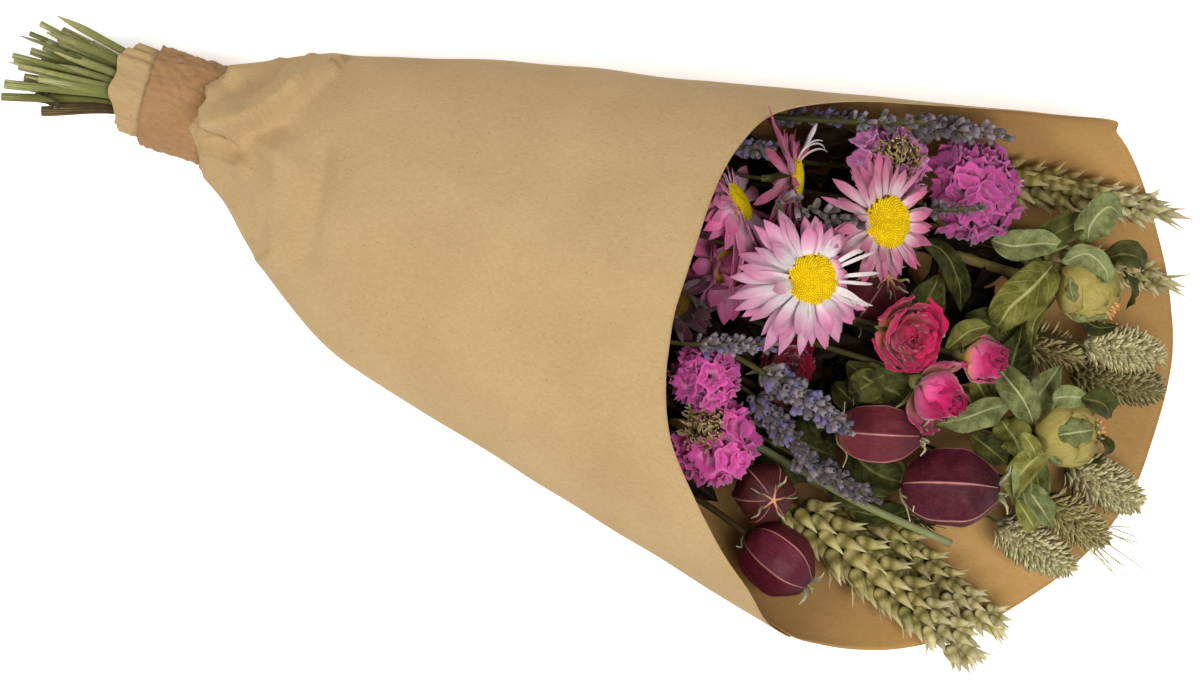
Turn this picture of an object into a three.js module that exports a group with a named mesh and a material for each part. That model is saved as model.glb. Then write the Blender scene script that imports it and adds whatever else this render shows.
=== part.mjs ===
import * as THREE from "three";

// A bouquet of dried flowers lying on its side in a rolled sheet of kraft paper.
// Sizes are in millimetres. X runs from the cut stems to the blooms, Y runs across the bouquet and
// Z is up. X = 0 is the middle of the taped neck, and Z = 0 is the surface that the paper lies on.

// Driving dimensions of the rolled paper.
const PAPER_WALL = 0.8;
const NECK_WALL = 1.6;
const NECK_RADIUS = 16;
const NECK_LIFT = 1.2;
const NECK_AXIS = NECK_LIFT + NECK_RADIUS;
const FLAT_SHARE = 0.06;
const AROUND = 56;

// The roll's cross sections: x, half width, sideways centre and height.
const SECTIONS = [
  [-20, 16.4, 0, 32.8],
  [-6, NECK_RADIUS, 0, 2 * NECK_RADIUS],
  [15, NECK_RADIUS, 0, 2 * NECK_RADIUS],
  [30, 24.5, -1, 40],
  [42, 33.8, -3.9, 47],
  [67, 46.8, -9.7, 60],
  [88, 55, -12.2, 68],
  [127, 64.8, -12, 80],
  [166, 73.4, -12.9, 92],
  [204, 82.2, -13.3, 100],
  [257, 94.4, -14, 104],
  [309, 106.6, -14.4, 100],
  [366, 119.6, -14.6, 92],
];

// Where the paper ends towards the blooms: degrees round from the underside, and x.
const RIM = [
  [-195, 190], [-180, 190], [-165, 193], [-148, 202], [-135, 216], [-125, 228], [-113, 243],
  [-90, 259], [-79, 271], [-58, 302], [-35, 335], [-14, 359], [0, 365], [18, 363], [29, 356],
  [50, 337], [75, 317], [90, 306], [97, 270], [103, 236], [115, 208], [135, 194], [165, 190],
  [180, 190], [195, 193],
];

// Rings of the paper between the neck and the middle of the roll, and how many follow to the rim.
const NECK_ROWS = [-6, 4, 15, 21, 26, 32, 39, 48, 60, 76, 96];
const RIM_ROWS = 5;

// The gathered end of the paper behind the tape.
const GATHER_END = -11;
const GATHER_TOP = 6.6;
const GATHER_SIDE = 2.4;
const GATHER_WAVES = 7;
const GATHER_WAVE = 0.7;

// The paper tape round the neck, and the rubber band round the stems inside it.
const TAPE_FROM = -5;
const TAPE_TO = 15;
const TAPE_WALL = 0.6;
const BAND_HALF = 3;
const BAND_WALL = 1.1;
const BUNDLE_RADIUS = 12.5;
const CLEARANCE = 0.3;
const RING_SIDES = 36;

// Where the stems may bend between the cut ends and their heads.
const STATIONS = [-10, 10, 34, 62, 94, 128, 164, 200, 236, 272];
const CUT_FROM = -26;
const CUT_SPREAD = 27;
const FAN_OUT = 0.031;
const FAN_UP = 0.006;
const FAN_LEAN = -0.06;
const CUT_LENGTHS = [1, 0.35, 0.7, 0.1, 0.85, 0.5, 0.2, 0.6];
const STEM_GAP = 0.45;

// Where a stem starts out before it settles: how much of its head's place across and above it keeps.
const KEEP_SIDE = 0.11;
const KEEP_LIFT = 0.2;
const HEADS_MIDDLE = 48;
const FREE_BEFORE_HEAD = 9;
const SPREAD_FROM = -4;

// How the stems settle: passes, pull to a straight line, pull to the middle, and how heads push.
const SETTLE_PASSES = 260;
const STRAIGHTEN = 0.2;
const GATHER_IN = 0.02;
const HEAD_BALL = 4.5;
const LEAST_SIDEWAYS = 0.3;
const FIRM_SHARE = 0.85;

const COLOURS = {
  paper: 0xc8a876,
  tape: 0xb08968,
  band: 0x9a8450,
  daisy: 0xe39bc4,
  statice: 0xc65cba,
  lavender: 0x77759a,
  nigella: 0x5b2036,
  rose: 0xd9466f,
  wheat: 0xb9a56a,
  canary: 0xa3a06f,
  safflower: 0xb3b577,
  stem: 0x8a9060,
  leaf: 0x5f7346,
};

// Each kind of flower: stem radius, sides, and its head as distance before the middle and radius.
const KINDS = {
  daisy: {
    stem: 1.2, sides: 8, tip: 4,
    head: [[-14, 1.4], [-8, 3.4], [-4.5, 8], [-1, 16], [1, 17], [3, 8]],
  },
  statice: {
    stem: 1.4, sides: 8, tip: 11,
    head: [[-16, 1.3], [-10, 4.5], [-3, 10.5], [4, 12], [9, 8.5]],
  },
  lavender: {
    stem: 1.0, sides: 6, tip: 15,
    head: [[-17, 0.9], [-13, 3.2], [-4, 4.2], [5, 3.8], [12, 2.4]],
  },
  nigella: {
    stem: 1.3, sides: 8, tip: 17,
    head: [[-20, 1.3], [-15, 6.5], [-8, 12.5], [0, 14], [8, 11], [13, 4.5], [16, 5.5]],
  },
  rose: {
    stem: 1.4, sides: 8, tip: 9,
    head: [[-14, 1.3], [-9, 4.5], [-4, 8.6], [2, 10], [7, 7.5]],
  },
  wheat: {
    stem: 1.5, sides: 7, tip: 44,
    head: [[-46, 1.3], [-40, 4.6], [-24, 6.8], [2, 7.4], [24, 6.4], [38, 3.6]],
  },
  canary: {
    stem: 1.0, sides: 6, tip: 15,
    head: [[-17, 0.9], [-13, 4.4], [-5, 7.4], [4, 7], [11, 3.8]],
  },
  safflower: {
    stem: 1.8, sides: 8, tip: 14,
    head: [[-15, 1.7], [-10, 6], [-4, 10], [3, 10], [9, 5.6], [12, 3]],
  },
  stem: {
    stem: 1.5, sides: 6, tip: 0,
    head: [[-30, 1.5], [-15, 1.5]],
  },
};

// Every stalk: name, kind, middle of its head, the way the head points, and size against its kind.
const STALKS = [
  ["daisy_front", "daisy", [230, 8, 90], [0.2, 0.05, 1], 1],
  ["daisy_right", "daisy", [248, 34, 80], [0.67, 0.22, 0.7], 0.95],
  ["daisy_side", "daisy", [215, 39, 70], [0.94, 0.3, 0.15], 0.8],
  ["daisy_left", "daisy", [199, 25, 76], [0.64, 0.69, 0.33], 0.8],
  ["daisy_deep", "daisy", [204, 4, 68], [0.7, 0, 0.7], 0.8],
  ["daisy_shaded", "daisy", [190, -13, 79], [0.45, -0.1, 0.9], 0.62],
  ["statice_upper_right", "statice", [277, 57, 50], [0.75, 0.4, 0.55], 1.15],
  ["statice_upper", "statice", [246, 55, 59], [0.8, 0.3, 0.5], 1],
  ["statice_left", "statice", [208, -34, 74], [0.5, -0.25, 0.85], 0.9],
  ["statice_lower_left", "statice", [219, -56, 62], [0.45, -0.45, 0.75], 1.05],
  ["lavender_upper", "lavender", [216, 62, 53], [1, 0.3, 0.05], 0.9],
  ["lavender_middle", "lavender", [243, 68, 66], [0.95, 0.3, 0], 0.8],
  ["lavender_right", "lavender", [265, 73, 54], [0.95, 0.2, 0], 1],
  ["lavender_dark", "lavender", [193, 43, 73], [0.9, 0.2, 0.15], 0.9],
  ["lavender_thin", "lavender", [270, 46, 72], [0.8, 0.3, 0.5], 0.6],
  ["lavender_rim", "lavender", [214, -20, 83], [0.95, 0.3, 0.1], 0.8],
  ["lavender_violet", "lavender", [243, -31, 75], [0.95, -0.25, 0], 1.1],
  ["lavender_low", "lavender", [238, -43, 60], [0.8, -0.5, 0.1], 0.9],
  ["lavender_lowest", "lavender", [262, -53, 50], [0.95, -0.2, 0.1], 0.9],
  ["nigella_large", "nigella", [301, -43, 42], [0.97, -0.1, 0.15], 1],
  ["nigella_middle", "nigella", [271, -33, 56], [0.97, 0.1, 0.2], 0.85],
  ["nigella_low", "nigella", [252, -86, 40], [0.9, -0.35, 0.1], 0.82],
  ["nigella_end_on", "nigella", [239, -65, 45], [0.3, -0.1, 0.95], 0.75],
  ["nigella_dark", "nigella", [253, 11, 54], [0.45, 0.1, 0.9], 0.75],
  ["rose_open", "rose", [268, 1, 78], [0.45, 0, 0.9], 1.1],
  ["rose_red_bud", "rose", [283, -15, 64], [0.75, -0.2, 0.6], 0.9],
  ["rose_yellow_bud", "rose", [294, 1, 60], [0.9, 0.1, 0.4], 0.75],
  ["rose_crimson", "rose", [233, -22, 55], [0.6, 0, 0.8], 0.85],
  ["wheat_long", "wheat", [292, -83, 28], [0.93, -0.36, -0.1], 1],
  ["wheat_short", "wheat", [303, -74, 15], [0.93, -0.36, -0.02], 0.85],
  ["wheat_upper", "wheat", [311, 66, 27], [0.98, 0.12, -0.1], 0.8],
  ["wheat_far", "wheat", [324, 45, 16], [0.98, 0.1, -0.06], 0.7],
  ["canary_pale", "canary", [342, 20, 27], [0.98, 0.15, -0.1], 1],
  ["canary_green", "canary", [346, 10, 12], [0.98, 0.05, -0.05], 1],
  ["canary_brown", "canary", [318, 12, 22], [0.97, 0.05, 0], 0.8],
  ["canary_low", "canary", [351, -26, 14], [0.95, -0.2, -0.06], 0.95],
  ["canary_inner", "canary", [328, -5, 14], [0.97, 0, 0], 0.8],
  ["canary_edge", "canary", [335, -54, 14], [0.95, -0.25, 0], 0.95],
  ["canary_bristly", "canary", [344, -41, 22], [0.95, -0.25, -0.1], 0.9],
  ["safflower_upper", "safflower", [323, 35, 42], [0.85, -0.1, 0.5], 1],
  ["safflower_lower", "safflower", [332, -14, 40], [0.85, 0, 0.5], 1],
  ["cut_stem", "stem", [306, -62, 34], [0.97, -0.1, -0.15], 1],
  ["seed_grass", "canary", [292, -58, 22], [0.97, -0.1, 0], 0.5],
];

// Every leaf: name, its stalk, how far behind the middle of the head it grows, tip and width.
const LEAVES = [
  ["leaf_upper_broad", "safflower_upper", 17, [291, 16, 37], 15],
  ["leaf_upper_folded", "safflower_upper", 29, [287, 45, 42], 10],
  ["leaf_upper_dark", "safflower_upper", 25, [308, 59, 47], 11],
  ["leaf_upper_tip", "safflower_upper", 20, [325, 62, 50], 9],
  ["leaf_upper_narrow", "safflower_upper", 19.5, [302, 15, 31], 6],
  ["leaf_lower_left", "safflower_lower", 31, [293, -4, 47], 9],
  ["leaf_lower_dark", "safflower_lower", 26, [305, 17, 44], 9],
  ["leaf_lower_tall", "safflower_lower", 18, [322, 8, 42], 11],
  ["leaf_lower_pale", "safflower_lower", 36, [288, -22, 49], 10],
  ["leaf_lower_right", "safflower_lower", 20, [333, -39, 31], 9],
  ["leaf_lower_bent", "safflower_lower", 22, [331, -42, 33], 8],
  ["leaf_rose_dark", "rose_red_bud", 21, [256, -24, 52], 9],
  ["leaf_rose_upper", "rose_yellow_bud", 26, [272, 24, 58], 10],
  ["leaf_lower_small", "safflower_lower", 25, [322, -28, 38], 6],
];

// How a leaf widens from its root to its tip: share of its length, share of its width.
const LEAF_SHAPE = [[0, 0.05], [0.14, 0.42], [0.32, 0.88], [0.5, 1], [0.7, 0.8], [0.87, 0.4]];
const LEAF_WALL = 0.8;
const LEAF_ARCH = 0.12;

function mix(a, b, share) {
  return a + (b - a) * share;
}

// A smooth line through rows of [key, value, ...], read at any key.
function readRows(rows, key, column) {
  const last = rows.length - 1;
  const found = rows.findIndex((row) => row[0] > key);
  const i = found < 0 ? last - 1 : Math.max(0, found - 1);
  const rise = (j) => (rows[j + 1][column] - rows[j][column]) / (rows[j + 1][0] - rows[j][0]);
  const slope = (j) => {
    const before = rise(Math.max(0, j - 1));
    const after = rise(Math.min(last - 1, j));
    return before * after > 0 ? (before + after) / 2 : 0;
  };
  const span = rows[i + 1][0] - rows[i][0];
  const t = THREE.MathUtils.clamp((key - rows[i][0]) / span, 0, 1);
  const from = rows[i][column];
  const to = rows[i + 1][column];
  const bend = t * (1 - t) * span;
  const ease = t * t * (3 - 2 * t);
  return mix(from, to, ease) + bend * ((1 - t) * slope(i) - t * slope(i + 1));
}

function section(x) {
  const round = THREE.MathUtils.smoothstep(x, 15, 42);
  return {
    half: readRows(SECTIONS, x, 1),
    side: readRows(SECTIONS, x, 2),
    height: readRows(SECTIONS, x, 3),
    lift: NECK_LIFT * (1 - round),
    flat: FLAT_SHARE * round,
  };
}

// A point on the outside of the paper, with the angle counted from the underside.
function paperPoint(x, angle) {
  const s = section(x);
  const rise = ((1 + s.flat) * (1 - Math.cos(angle))) / 2 - s.flat;
  return new THREE.Vector3(x, s.side + s.half * Math.sin(angle), s.lift + s.height * Math.max(0, rise));
}

function paperInside(x, angle) {
  const step = 0.01;
  const along = paperPoint(x + step, angle).sub(paperPoint(x - step, angle));
  const round = paperPoint(x, angle + step).sub(paperPoint(x, angle - step));
  const wall = mix(NECK_WALL, PAPER_WALL, THREE.MathUtils.smoothstep(x, 15, 60));
  return paperPoint(x, angle).addScaledVector(along.cross(round).normalize(), wall);
}

function meshOf(name, points, triangles, colour, roughness) {
  const geometry = new THREE.BufferGeometry();
  geometry.setAttribute("position", new THREE.Float32BufferAttribute(points.flatMap((p) => p.toArray()), 3));
  geometry.setIndex(triangles);
  geometry.computeVertexNormals();
  const material = new THREE.MeshStandardMaterial({ color: colour, roughness, metalness: 0 });
  const mesh = new THREE.Mesh(geometry, material);
  mesh.name = name;
  return mesh;
}

// Joins rings of equal length into a band of triangles; the rings run round a closed loop too if asked.
function skin(rings, count, triangles) {
  for (let r = 0; r + 1 < rings.length; r += 1) {
    for (let c = 0; c < count; c += 1) {
      const next = (c + 1) % count;
      const corners = [rings[r] + c, rings[r] + next, rings[r + 1] + next, rings[r + 1] + c];
      triangles.push(corners[0], corners[1], corners[2], corners[0], corners[2], corners[3]);
    }
  }
}

// The wrapper: one sheet rolled into a cone, with its outside, its inside and both edges closed.
function buildWrapper() {
  const points = [];
  const outside = [];
  const inside = [];
  for (const [face, rings] of [[paperPoint, outside], [paperInside, inside]]) {
    for (let row = 0; row <= NECK_ROWS.length + RIM_ROWS; row += 1) {
      rings.push(points.length);
      for (let c = 0; c < AROUND; c += 1) {
        const angle = THREE.MathUtils.degToRad((360 * c) / AROUND - 180);
        points.push(face(paperRow(row, angle), angle));
      }
    }
  }
  const triangles = [];
  skin([...outside, ...inside.reverse(), outside[0]], AROUND, triangles);
  return meshOf("paper_wrapper", points, triangles, COLOURS.paper, 0.85);
}

function paperRow(row, angle) {
  const top = GATHER_TOP * Math.min(0, Math.cos(angle));
  const wave = GATHER_WAVE * Math.sin(GATHER_WAVES * angle);
  if (row === 0) {
    return GATHER_END + top - GATHER_SIDE * Math.sin(angle) + wave;
  }
  const last = NECK_ROWS.length;
  if (row <= last) {
    return NECK_ROWS[row - 1];
  }
  const rim = readRows(RIM, THREE.MathUtils.radToDeg(angle), 1);
  return mix(NECK_ROWS[last - 1], rim, (row - last) / RIM_ROWS);
}

// A plain ring about the neck's axis.
function buildRing(name, from, to, inner, outer, colour, roughness) {
  const profile = [
    [inner, from], [outer, from], [outer, to], [inner, to], [inner, from],
  ].map(([r, x]) => new THREE.Vector2(r, x));
  const ring = new THREE.LatheGeometry(profile, RING_SIDES);
  const lone = new THREE.MeshStandardMaterial({ color: colour, roughness, metalness: 0 });
  const mesh = new THREE.Mesh(ring, lone);
  mesh.name = name;
  mesh.rotation.z = -Math.PI / 2;
  mesh.position.z = NECK_AXIS;
  return mesh;
}

// A closed solid of rings along a route: each ring has its centre, half width and half thickness.
function sweep(name, route, sides, tip, colour, roughness, up) {
  const points = [route[0].at.clone()];
  const rings = [];
  const side = new THREE.Vector3();
  let across = null;
  route.forEach((ring, i) => {
    const before = route[Math.max(0, i - 1)].at;
    const after = i + 1 < route.length ? route[i + 1].at : tip;
    const along = after.clone().sub(before).normalize();
    if (across === null) {
      across = new THREE.Vector3().crossVectors(up, along).normalize();
    }
    across.addScaledVector(along, -across.dot(along)).normalize();
    side.crossVectors(along, across);
    rings.push(points.length);
    for (let c = 0; c < sides; c += 1) {
      const turn = (2 * Math.PI * c) / sides;
      const point = ring.at.clone();
      point.addScaledVector(across, ring.wide * Math.cos(turn));
      points.push(point.addScaledVector(side, ring.thick * Math.sin(turn)));
    }
  });
  const triangles = [];
  skin(rings, sides, triangles);
  const end = points.push(tip.clone()) - 1;
  const first = rings[0];
  const last = rings[rings.length - 1];
  for (let c = 0; c < sides; c += 1) {
    const next = (c + 1) % sides;
    triangles.push(0, first + next, first + c, end, last + c, last + next);
  }
  return meshOf(name, points, triangles, colour, roughness);
}

// What one stalk needs while the stems find their places in the bundle.
function layStalk([name, kind, middle, facing, size], index) {
  const { stem, head, tip, sides } = KINDS[kind];
  const centre = new THREE.Vector3(...middle);
  const way = new THREE.Vector3(...facing).normalize();
  const rings = head.map(([along, radius], i) => ({
    at: centre.clone().addScaledVector(way, along * size),
    radius: i === 0 ? radius : radius * size,
  }));
  const root = rings[0].at;
  const free = STATIONS.filter((x) => x < root.x - FREE_BEFORE_HEAD).map((x) => {
    const share = THREE.MathUtils.clamp((x - SPREAD_FROM) / (root.x - SPREAD_FROM), 0, 1);
    const slotY = root.y * KEEP_SIDE;
    const slotZ = NECK_AXIS + (root.z - HEADS_MIDDLE) * KEEP_LIFT;
    return new THREE.Vector3(x, mix(slotY, root.y, share), mix(slotZ, root.z, share));
  });
  const tipAt = centre.clone().addScaledVector(way, tip * size);
  return { name, kind, stem, sides, index, centre, way, rings, free, tipAt };
}

// Balls that fill a head, so that passing stems keep off it.
function headBalls(stalk) {
  const balls = [];
  const turned = new THREE.Quaternion().setFromUnitVectors(new THREE.Vector3(0, 0, 1), stalk.way);
  for (const ring of stalk.rings) {
    if (ring.radius <= HEAD_BALL) {
      balls.push({ at: ring.at, radius: ring.radius });
      continue;
    }
    const reach = ring.radius - HEAD_BALL;
    const count = Math.max(3, Math.round((2 * Math.PI * reach) / HEAD_BALL));
    for (let c = 0; c < count; c += 1) {
      const turn = (2 * Math.PI * c) / count;
      const off = new THREE.Vector3(Math.cos(turn), Math.sin(turn), 0).multiplyScalar(reach);
      balls.push({ at: off.applyQuaternion(turned).add(ring.at), radius: HEAD_BALL });
    }
  }
  return balls;
}

// Moves a segment's two ends in Y and Z so that its point at a share of its length shifts by a push.
function shiftSegment(start, end, share, pushY, pushZ) {
  const weight = (1 - share) ** 2 + share ** 2;
  start.y += (pushY * (1 - share)) / weight;
  start.z += (pushZ * (1 - share)) / weight;
  end.y += (pushY * share) / weight;
  end.z += (pushZ * share) / weight;
}

// Two stems between the same two stations are pushed apart where they come nearest.
function partStems(a, b, k, gap) {
  const [a0, a1, b0, b1] = [a.free[k], a.free[k + 1], b.free[k], b.free[k + 1]];
  const startY = a0.y - b0.y;
  const startZ = a0.z - b0.z;
  const turnY = a1.y - b1.y - startY;
  const turnZ = a1.z - b1.z - startZ;
  const turned = turnY ** 2 + turnZ ** 2;
  const share = turned > 0 ? THREE.MathUtils.clamp(-(startY * turnY + startZ * turnZ) / turned, 0, 1) : 0;
  const offY = startY + share * turnY;
  const offZ = startZ + share * turnZ;
  const apart = Math.hypot(offY, offZ) || 1e-6;
  const slant = Math.hypot(a1.y - a0.y, a1.z - a0.z, a1.x - a0.x) / (a1.x - a0.x);
  const lacking = (a.stem + b.stem + gap) * slant - apart;
  if (lacking > 0) {
    const push = lacking / 2 / apart;
    shiftSegment(a0, a1, share, offY * push, offZ * push);
    shiftSegment(b0, b1, share, -offY * push, -offZ * push);
  }
}

// A stem is pushed off a ball that belongs to another stalk.
function partBall(stalk, k, ball, gap) {
  const start = stalk.free[k];
  const end = k + 1 < stalk.free.length ? stalk.free[k + 1] : stalk.rings[0].at;
  const need = ball.radius + stalk.stem + gap;
  if (ball.at.x < start.x - need || ball.at.x > end.x + need) {
    return;
  }
  const line = new THREE.Line3(start, end);
  const share = line.closestPointToPointParameter(ball.at, true);
  const off = line.at(share, new THREE.Vector3()).sub(ball.at);
  const apart = off.length() || 1e-6;
  if (apart >= need) {
    return;
  }
  const sideways = Math.max(LEAST_SIDEWAYS, Math.hypot(off.y, off.z) / apart);
  const push = (need - apart) / apart / sideways;
  if (k + 1 < stalk.free.length) {
    shiftSegment(start, end, share, off.y * push, off.z * push);
  } else if (share < FIRM_SHARE) {
    start.y += (off.y * push) / (1 - share);
    start.z += (off.z * push) / (1 - share);
  }
}

// Keeps a stem inside the rubber band at the neck, and inside the paper further on.
function keepInside(stalk, k) {
  const point = stalk.free[k];
  if (point.x <= STATIONS[1]) {
    const off = Math.hypot(point.y, point.z - NECK_AXIS);
    const limit = BUNDLE_RADIUS - stalk.stem;
    if (off > limit) {
      point.y *= limit / off;
      point.z = mix(NECK_AXIS, point.z, limit / off);
    }
    return;
  }
  const s = section(point.x);
  const margin = NECK_WALL + stalk.stem + CLEARANCE;
  const middle = s.lift + (s.height * (1 - s.flat)) / 2;
  const tall = (s.height * (1 + s.flat)) / 2 - margin;
  const off = Math.hypot((point.y - s.side) / (s.half - margin), (point.z - middle) / tall);
  if (off > 1) {
    point.y = mix(s.side, point.y, 1 / off);
    point.z = mix(middle, point.z, 1 / off);
  }
  point.z = Math.max(point.z, s.lift + margin);
}

// The stems give way to each other, to the heads and to the paper until they all lie clear.
function settleStems(stalks) {
  const balls = stalks.map(headBalls);
  for (let pass = 0; pass < SETTLE_PASSES; pass += 1) {
    const calm = pass / SETTLE_PASSES;
    for (const stalk of stalks) {
      const route = [...stalk.free, stalk.rings[0].at];
      for (let k = 1; k < stalk.free.length; k += 1) {
        const [before, here, after] = route.slice(k - 1, k + 2);
        const share = (here.x - before.x) / (after.x - before.x);
        here.y = mix(here.y, mix(before.y, after.y, share), STRAIGHTEN * (1 - calm));
        here.z = mix(here.z, mix(before.z, after.z, share), STRAIGHTEN * (1 - calm));
      }
      for (let k = 0; k < 2; k += 1) {
        stalk.free[k].y *= 1 - GATHER_IN * (1 - calm);
      }
    }
    for (const a of stalks) {
      for (const b of stalks.slice(a.index + 1)) {
        const shared = Math.min(a.free.length, b.free.length) - 1;
        for (let k = 0; k < shared; k += 1) {
          partStems(a, b, k, STEM_GAP);
        }
      }
      for (const other of stalks) {
        if (other !== a) {
          balls[other.index].forEach((ball) => a.free.forEach((_, k) => partBall(a, k, ball, STEM_GAP)));
        }
      }
      a.free.forEach((_, k) => keepInside(a, k));
    }
  }
}

// The cut ends fan out behind the tape, each stem to its own length.
function cutEnd(stalk) {
  const start = stalk.free[0];
  const x = CUT_FROM - CUT_SPREAD * CUT_LENGTHS[stalk.index % CUT_LENGTHS.length];
  const back = start.x - x;
  const y = start.y * (1 + FAN_OUT * back) + FAN_LEAN * back;
  return new THREE.Vector3(x, y, mix(NECK_AXIS, start.z, 1 + FAN_UP * back));
}

function buildStalk(stalk) {
  const ringAt = (at, radius) => ({ at, wide: radius, thick: radius });
  const route = [
    ringAt(cutEnd(stalk), stalk.stem),
    ...stalk.free.map((at) => ringAt(at, stalk.stem)),
    ...stalk.rings.map((ring) => ringAt(ring.at, ring.radius)),
  ];
  const up = new THREE.Vector3(0, 0, 1);
  return sweep(stalk.name, route, stalk.sides, stalk.tipAt, COLOURS[stalk.kind], 0.8, up);
}

// The point of a stalk's stem that lies a distance behind the middle of its head, and its way there.
function pointOnStem(stalk, behind) {
  const route = [stalk.centre, stalk.rings[0].at, ...stalk.free.toReversed()];
  let left = behind;
  for (let i = 0; i + 1 < route.length; i += 1) {
    const span = route[i].distanceTo(route[i + 1]);
    if (left < span) {
      const way = route[i].clone().sub(route[i + 1]).normalize();
      return { at: route[i].clone().lerp(route[i + 1], left / span), way };
    }
    left -= span;
  }
  throw new Error(`the stem of ${stalk.name} is shorter than ${behind} mm`);
}

// A leaf grows from its stem towards its tip, and arches on the way.
function buildLeaf([name, stalkName, behind, tip, width], stalks) {
  const stalk = stalks.find((each) => each.name === stalkName);
  const stem = pointOnStem(stalk, behind);
  const tipAt = new THREE.Vector3(...tip);
  const outward = tipAt.clone().sub(stem.at);
  outward.addScaledVector(stem.way, -outward.dot(stem.way)).normalize();
  const root = stem.at.addScaledVector(outward, stalk.stem + CLEARANCE + LEAF_WALL / 2);
  const length = root.distanceTo(tipAt);
  const route = LEAF_SHAPE.map(([share, wide]) => {
    const at = root.clone().lerp(tipAt, share);
    at.z += length * LEAF_ARCH * 4 * share * (1 - share);
    return { at, wide: (width / 2) * wide, thick: LEAF_WALL / 2 };
  });
  return sweep(name, route, 6, tipAt, COLOURS.leaf, 0.75, new THREE.Vector3(0, 0, 1));
}

const bouquet = new THREE.Group();
bouquet.add(buildWrapper());
bouquet.add(buildRing(
  "neck_tape", TAPE_FROM, TAPE_TO, NECK_RADIUS + CLEARANCE, NECK_RADIUS + CLEARANCE + TAPE_WALL,
  COLOURS.tape, 0.7,
));
bouquet.add(buildRing(
  "stem_band", -BAND_HALF, BAND_HALF, BUNDLE_RADIUS + CLEARANCE, BUNDLE_RADIUS + CLEARANCE + BAND_WALL,
  COLOURS.band, 0.6,
));
const stalks = STALKS.map(layStalk);
settleStems(stalks);
stalks.forEach((stalk) => bouquet.add(buildStalk(stalk)));
LEAVES.forEach((leaf) => bouquet.add(buildLeaf(leaf, stalks)));

// The origin is on the surface below the middle of the whole bouquet.
bouquet.updateMatrixWorld(true);
const extent = new THREE.Box3().setFromObject(bouquet);
const middle = extent.getCenter(new THREE.Vector3());
bouquet.position.set(-middle.x, -middle.y, -extent.min.z);

export default bouquet;
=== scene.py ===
import math
import random

import bmesh
import bpy
from mathutils import Matrix, Vector, noise


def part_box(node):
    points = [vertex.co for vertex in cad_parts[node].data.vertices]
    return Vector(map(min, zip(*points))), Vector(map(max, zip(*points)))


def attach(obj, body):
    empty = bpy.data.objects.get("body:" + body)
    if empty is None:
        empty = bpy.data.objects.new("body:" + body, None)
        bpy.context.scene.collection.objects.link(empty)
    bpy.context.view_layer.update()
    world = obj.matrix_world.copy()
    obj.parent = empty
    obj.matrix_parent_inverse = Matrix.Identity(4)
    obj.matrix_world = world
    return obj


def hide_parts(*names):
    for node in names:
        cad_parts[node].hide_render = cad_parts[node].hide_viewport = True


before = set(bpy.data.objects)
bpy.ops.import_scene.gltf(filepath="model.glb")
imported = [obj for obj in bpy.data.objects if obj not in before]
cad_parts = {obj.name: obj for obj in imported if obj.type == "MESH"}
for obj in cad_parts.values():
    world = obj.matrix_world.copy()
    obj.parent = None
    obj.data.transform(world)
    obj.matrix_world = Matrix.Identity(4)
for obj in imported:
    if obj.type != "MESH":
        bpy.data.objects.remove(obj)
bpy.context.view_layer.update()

# The wrapper: one sheet of brown kraft paper, rolled into a cone round the bouquet and gathered at
# the neck. It is about 0.2 mm thick here, flecked with dark fibres, and its free edge lies under
# the bouquet. Puffed folds and dents run out of the gathers.
MM = 0.001
tape_low, tape_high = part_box("neck_tape")
NECK = Vector((tape_high.x - 15 * MM, (tape_low.y + tape_high.y) / 2, 0))

# Cross sections of the roll in millimetres from the neck: x, half width, sideways centre, height.
SECTIONS = [
    (-20, 16.4, 0, 32.8), (-6, 16, 0, 32), (15, 16, 0, 32), (30, 24.5, -1, 40), (42, 33.8, -3.9, 47),
    (67, 46.8, -9.7, 60), (88, 55, -12.2, 68), (127, 64.8, -12, 80), (166, 73.4, -12.9, 92),
    (204, 82.2, -13.3, 100), (257, 94.4, -14, 104), (309, 106.6, -14.4, 100), (366, 119.6, -14.6, 92),
]
# Where the paper ends towards the blooms: degrees round from the underside, and x.
RIM = [
    (-195, 190), (-180, 190), (-165, 193), (-148, 202), (-135, 216), (-125, 228), (-113, 243),
    (-90, 259), (-79, 271), (-58, 302), (-35, 335), (-14, 359), (0, 365), (18, 363), (29, 356),
    (50, 337), (75, 317), (90, 306), (97, 270), (103, 236), (115, 208), (135, 194), (165, 190),
    (180, 190), (195, 193),
]
# The sheet's two long edges, in degrees round from the underside.
SHEET_START, SHEET_END = -86, 312
NECK_LIFT = 1.2
FLAT_SHARE = 0.06
PAPER_THICKNESS = 0.22

# The edge of the tape towards the blooms, where the paper folds out over it: y from the neck, and x.
TAPE_EDGE = [
    (-19, 20), (-15.7, 19.5), (-10, 15.5), (-5.8, 12.6), (-2, 14), (2, 15.6),
    (5, 14.2), (7.5, 12.8), (12, 18), (19, 19),
]

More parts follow.
